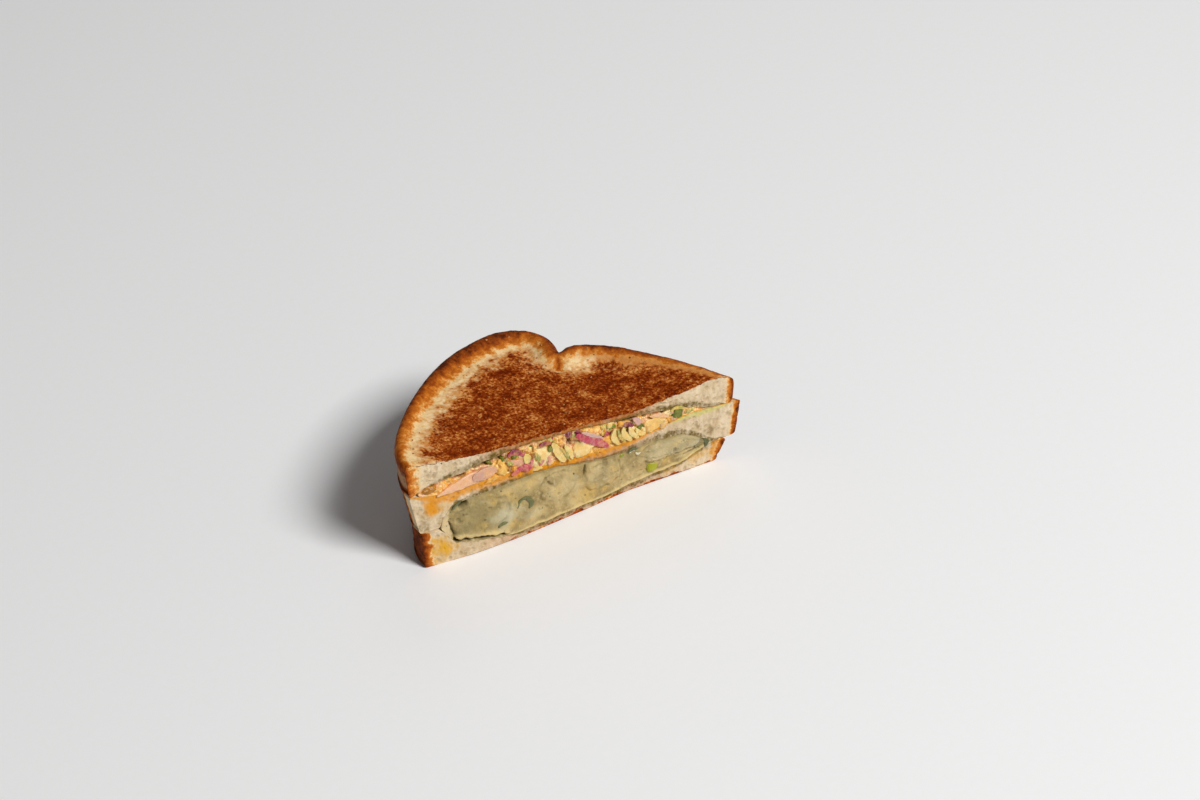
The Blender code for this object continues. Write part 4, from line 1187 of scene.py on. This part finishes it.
def far_shreds(seed):
    """Shreds along the far edge, where the filling reaches towards the crust, sorted into kinds."""
    rng = random.Random(seed)
    edge = crust_path(SLAW_PLAN, CRUST_STEP)
    kinds = {name: [] for name in FAR_KINDS}
    for number in range(FAR_PIECES):
        first = int(rng.uniform(0.02, 0.95) * (len(edge) - 1))
        last = min(len(edge) - 1, first + round(rng.uniform(*FAR_SHRED_LENGTH) / CRUST_STEP))
        if last - first < FAR_LEAST_STEPS:
            continue
        picks = edge[[first, (first + last) // 2, last]]
        low = interface(MIDDLE_UPPER, *picks.T)
        room = interface(TOP_LOWER, *picks.T) - low
        if room.min() < FAR_LEAST_ROOM:
            continue
        level = rng.uniform(0.25, 0.75)
        heights = low + room * np.clip(level + np.array([rng.uniform(-0.2, 0.2) for _ in range(3)]), 0.2, 0.8)
        facing = (rng.uniform(-0.5, 0.5), rng.uniform(-0.5, 0.5), 1.0)
        widths = [rng.uniform(0.9, 2.2) for _ in range(3)]
        kind = rng.choices(tuple(FAR_KINDS), tuple(FAR_KINDS.values()))[0]
        thickness = min(1.4, 0.6 * room.min())
        strip = ribbon(np.column_stack([picks, heights]), widths, thickness, facing, seed + number)
        kinds[kind].append(strip + (rng.random(),))
    return kinds


# Colours of the dressing and of the painted shade in its gaps, then of each kind of piece from tint 0 to tint
# 1
DRESSING_TONES = (tone(246, 192, 96), tone(230, 158, 62), tone(250, 220, 152), tone(222, 160, 118))
GAP_DARK = tone(58, 28, 12)
ONION_TONES = (tone(212, 166, 158), tone(194, 50, 80), tone(118, 14, 52))
SLAB_TONES = (tone(244, 194, 156), tone(234, 168, 130), tone(206, 158, 138))
SLAB_FIBRES = (5, 1, 1)
CABBAGE_TONES = (tone(238, 214, 152), tone(232, 202, 112), tone(148, 148, 62))
CREAM_TONES = (tone(248, 220, 156), tone(242, 192, 104), tone(218, 152, 128))
SAUCE_TONES = (tone(176, 116, 18), tone(230, 156, 48), tone(248, 196, 100))
GREEN_TONES = (tone(110, 126, 14), tone(88, 106, 2), tone(126, 130, 44))


def dressing_material():
    """Creamy orange dressing in pink, orange and cream patches, with painted shade in the gaps."""
    graph = Graph("dressing", roughness=0.28, specular=0.5, soft=0.2)
    cloud = graph.noise(2.4, 3.0)
    bits = graph.noise(0.9)
    colour = graph.blend(graph.band(cloud, 0.4, 0.6), DRESSING_TONES[0], DRESSING_TONES[1])
    colour = graph.blend(graph.band(graph.noise(5.0), 0.47, 0.6), colour, DRESSING_TONES[3], 0.85)
    colour = graph.blend(graph.band(bits, 0.47, 0.64), colour, DRESSING_TONES[2], 0.85)
    colour = graph.blend(graph.attribute("gap"), colour, GAP_DARK)
    graph.bump(graph.plus(cloud, bits), 0.35, 0.8)
    return graph.finish(colour)


def shred_material(name, tones, streak, coated=0.0, roughness=0.28, stretch=(1.0, 1.0, 3.0), veined=0.5):
    """A moist piece of vegetable: tinted from piece to piece, with veins and thin dressing on it."""
    graph = Graph(name, roughness=roughness, specular=0.5, soft=0.3, soft_radius=(2.0, 1.2, 0.8))
    tint = graph.plus(graph.attribute("tint"), graph.swing(graph.noise(2.2), 0.35))
    colour = graph.ramp(tint, list(zip(np.linspace(0.1, 0.9, len(tones)), tones)))
    veins = graph.noise(streak, stretch=stretch)
    colour = graph.blend(graph.band(veins, 0.48, 0.68), colour, tones[0], veined)
    colour = graph.blend(graph.band(graph.noise(3.0, 4.0), 0.42, 0.66), colour, DRESSING_TONES[0], coated)
    graph.bump(graph.plus(veins, graph.noise(0.5)), 0.25, 0.8)
    return graph.finish(colour)


def make_slaw():
    """The shredded filling: its dressed core, then the real pieces of each kind."""
    layer = Layer((SLAW_PLAN,) * 2, face_height(MIDDLE_UPPER, TOUCH), face_height(TOP_LOWER, -TOUCH),
                  (SLAW_ROUNDING,) * 2, rows=SLAW_ROWS, tuck=0.0)
    cut = layer.cut
    face = layer.points[cut]
    wobble = 0.5 * lumps(face, 2.4, 2, 44)
    depth = 0.6 - 1.0 * lumps(face, 3.2, 3, 41)
    numbers = {"gap": np.zeros(len(layer.points))}
    for *ellipse, deep in GAPS:
        within = 1.0 - smoothstep((away_from(face[:, 0], face[:, 2], *ellipse) + wobble - 0.5) / 0.7)
        depth += deep * within
        # The gaps are painted dark as shade as well as sunk
        numbers["gap"][cut] = np.maximum(numbers["gap"][cut], 0.9 * within)
    layer.points[cut, 1] += np.maximum(depth, -0.4) * smoothstep(layer.edge[cut] / 0.7)
    layer.push_crust(0.6 - 1.3 * lumps(layer.points[layer.wall], 3.2, 3, 42))
    node = "slaw_filling"
    layer.settle("dressing", dressing_material(), numbers, node)
    far = far_shreds(43)
    bits = small_bits(layer, 401)
    join("onion", cut_strips(ONION, 51) + cut_boulders(ONION_BITS, 56) + bits["onion"] + far["onion"],
         shred_material("red_onion", ONION_TONES, 0.8, coated=0.3, veined=0.25), node)
    join("onion_slab", cut_strips(SLAB, 61),
         shred_material("pickled_slab", SLAB_TONES, 0.9, coated=0.3, stretch=SLAB_FIBRES), node)
    join("cabbage", cut_strips(CABBAGE, 71) + bits["cabbage"] + far["cabbage"],
         shred_material("cabbage", CABBAGE_TONES, 0.7, coated=0.65), node)
    join("cream_dice", cut_boulders(CREAM_CHUNKS, 81) + bits["cream"],
         shred_material("cream_dice", CREAM_TONES, 1.2, coated=0.65), node)
    join("sauce_blobs", cut_boulders(SAUCE_BLOBS, 96) + bits["sauce"],
         shred_material("sauce", SAUCE_TONES, 1.6), node)
    join("green_dice", cut_boulders(GREEN_DICE, 91) + bits["green"] + far["green"],
         shred_material("green_dice", GREEN_TONES, 1.0, coated=0.1, veined=0.15), node)


# Toasted crumbs on the griddled face
CRUMBS = 110
CRUMB_SIZES = (0.4, 1.1)
CRUMB_CLEAR = 4.0
CRUMB_TONES = (tone(206, 146, 84), tone(176, 104, 44), tone(132, 68, 24))


def make_crumbs(layer):
    """Crumbs that stick to the top slice's face, each half sunk in it."""
    rng = random.Random(17)
    places = layer.points[layer.over & (layer.reach > CRUMB_CLEAR)]
    parts = []
    for number in range(CRUMBS):
        size = rng.uniform(*CRUMB_SIZES)
        shape = (size, size * rng.uniform(0.6, 1.0), 0.7 * size)
        parts.append(strewn(rng, rng.choice(places), shape, 2.3, 500 + number, rough=0.3, subdivisions=2))
    join("crumbs", parts, shred_material("crumb", CRUMB_TONES, 0.5, roughness=0.85), "bread_top")


# The floor, in metres
FLOOR_SIZE = 6.0
FLOOR_Z = -0.0002
FLOOR_TONES = (tone(249, 249, 249), tone(252, 252, 252))


def make_floor():
    """A plain pale floor."""
    mesh = bmesh.new()
    bmesh.ops.create_grid(mesh, x_segments=2, y_segments=2, size=FLOOR_SIZE)
    data = bpy.data.meshes.new("floor")
    mesh.to_mesh(data)
    mesh.free()
    graph = Graph("pale_floor", roughness=0.9, specular=0.1)
    data.materials.append(graph.finish(graph.blend(graph.noise(3.0, 4.0), *FLOOR_TONES)))
    put_in_scene("floor", data, (0.0, 0.0, FLOOR_Z))


# Lights: place, edge length in metres and power in watts; all face the origin
LIGHTS = {"key": ((0.72, -1.72, 2.04), 0.9, 69.0), "back": ((0.5, 0.8, 0.9), 0.7, 1.4)}
AMBIENT = 0.085
SKY_TONE = (1, 0.985, 0.96, 1)


def make_lights():
    """Soft studio light from the front right, with a weak light from behind and a soft sky."""
    for name, (place, size, power) in LIGHTS.items():
        data = bpy.data.lights.new(name, "AREA")
        data.size = size
        data.energy = power
        put_in_scene(name, data, place, Vector(place).to_track_quat("Z", "Y"))
    world = bpy.data.worlds.new("studio")
    world.use_nodes = True
    sky = world.node_tree.nodes["Background"].inputs
    sky["Color"].default_value = SKY_TONE
    sky["Strength"].default_value = AMBIENT
    bpy.context.scene.world = world
    bpy.context.scene.view_settings.view_transform = "Standard"


# The camera: its place in metres, where it looks, and its lens and sensor width in millimetres
CAMERA_PLACE = Vector((-370.2, -682.3, 616.6)) * MM
CAMERA_FORWARD = Vector((0.4031, 0.6895, -0.6018))
LENS = 75.0
SENSOR = 36.0


def make_camera():
    """The camera at the photograph's place, angle and lens."""
    data = bpy.data.cameras.new("camera")
    data.lens = LENS
    data.sensor_width = SENSOR
    turn = CAMERA_FORWARD.to_track_quat("-Z", "Y")
    bpy.context.scene.camera = put_in_scene("camera", data, CAMERA_PLACE, turn)


bread = bread_material("bread")
make_top_slice(bread)
make_middle_slice(bread)
make_bottom_slice(bread)
make_potato()
make_slaw()
make_floor()
make_lights()
make_camera()
bpy.context.view_layer.update()
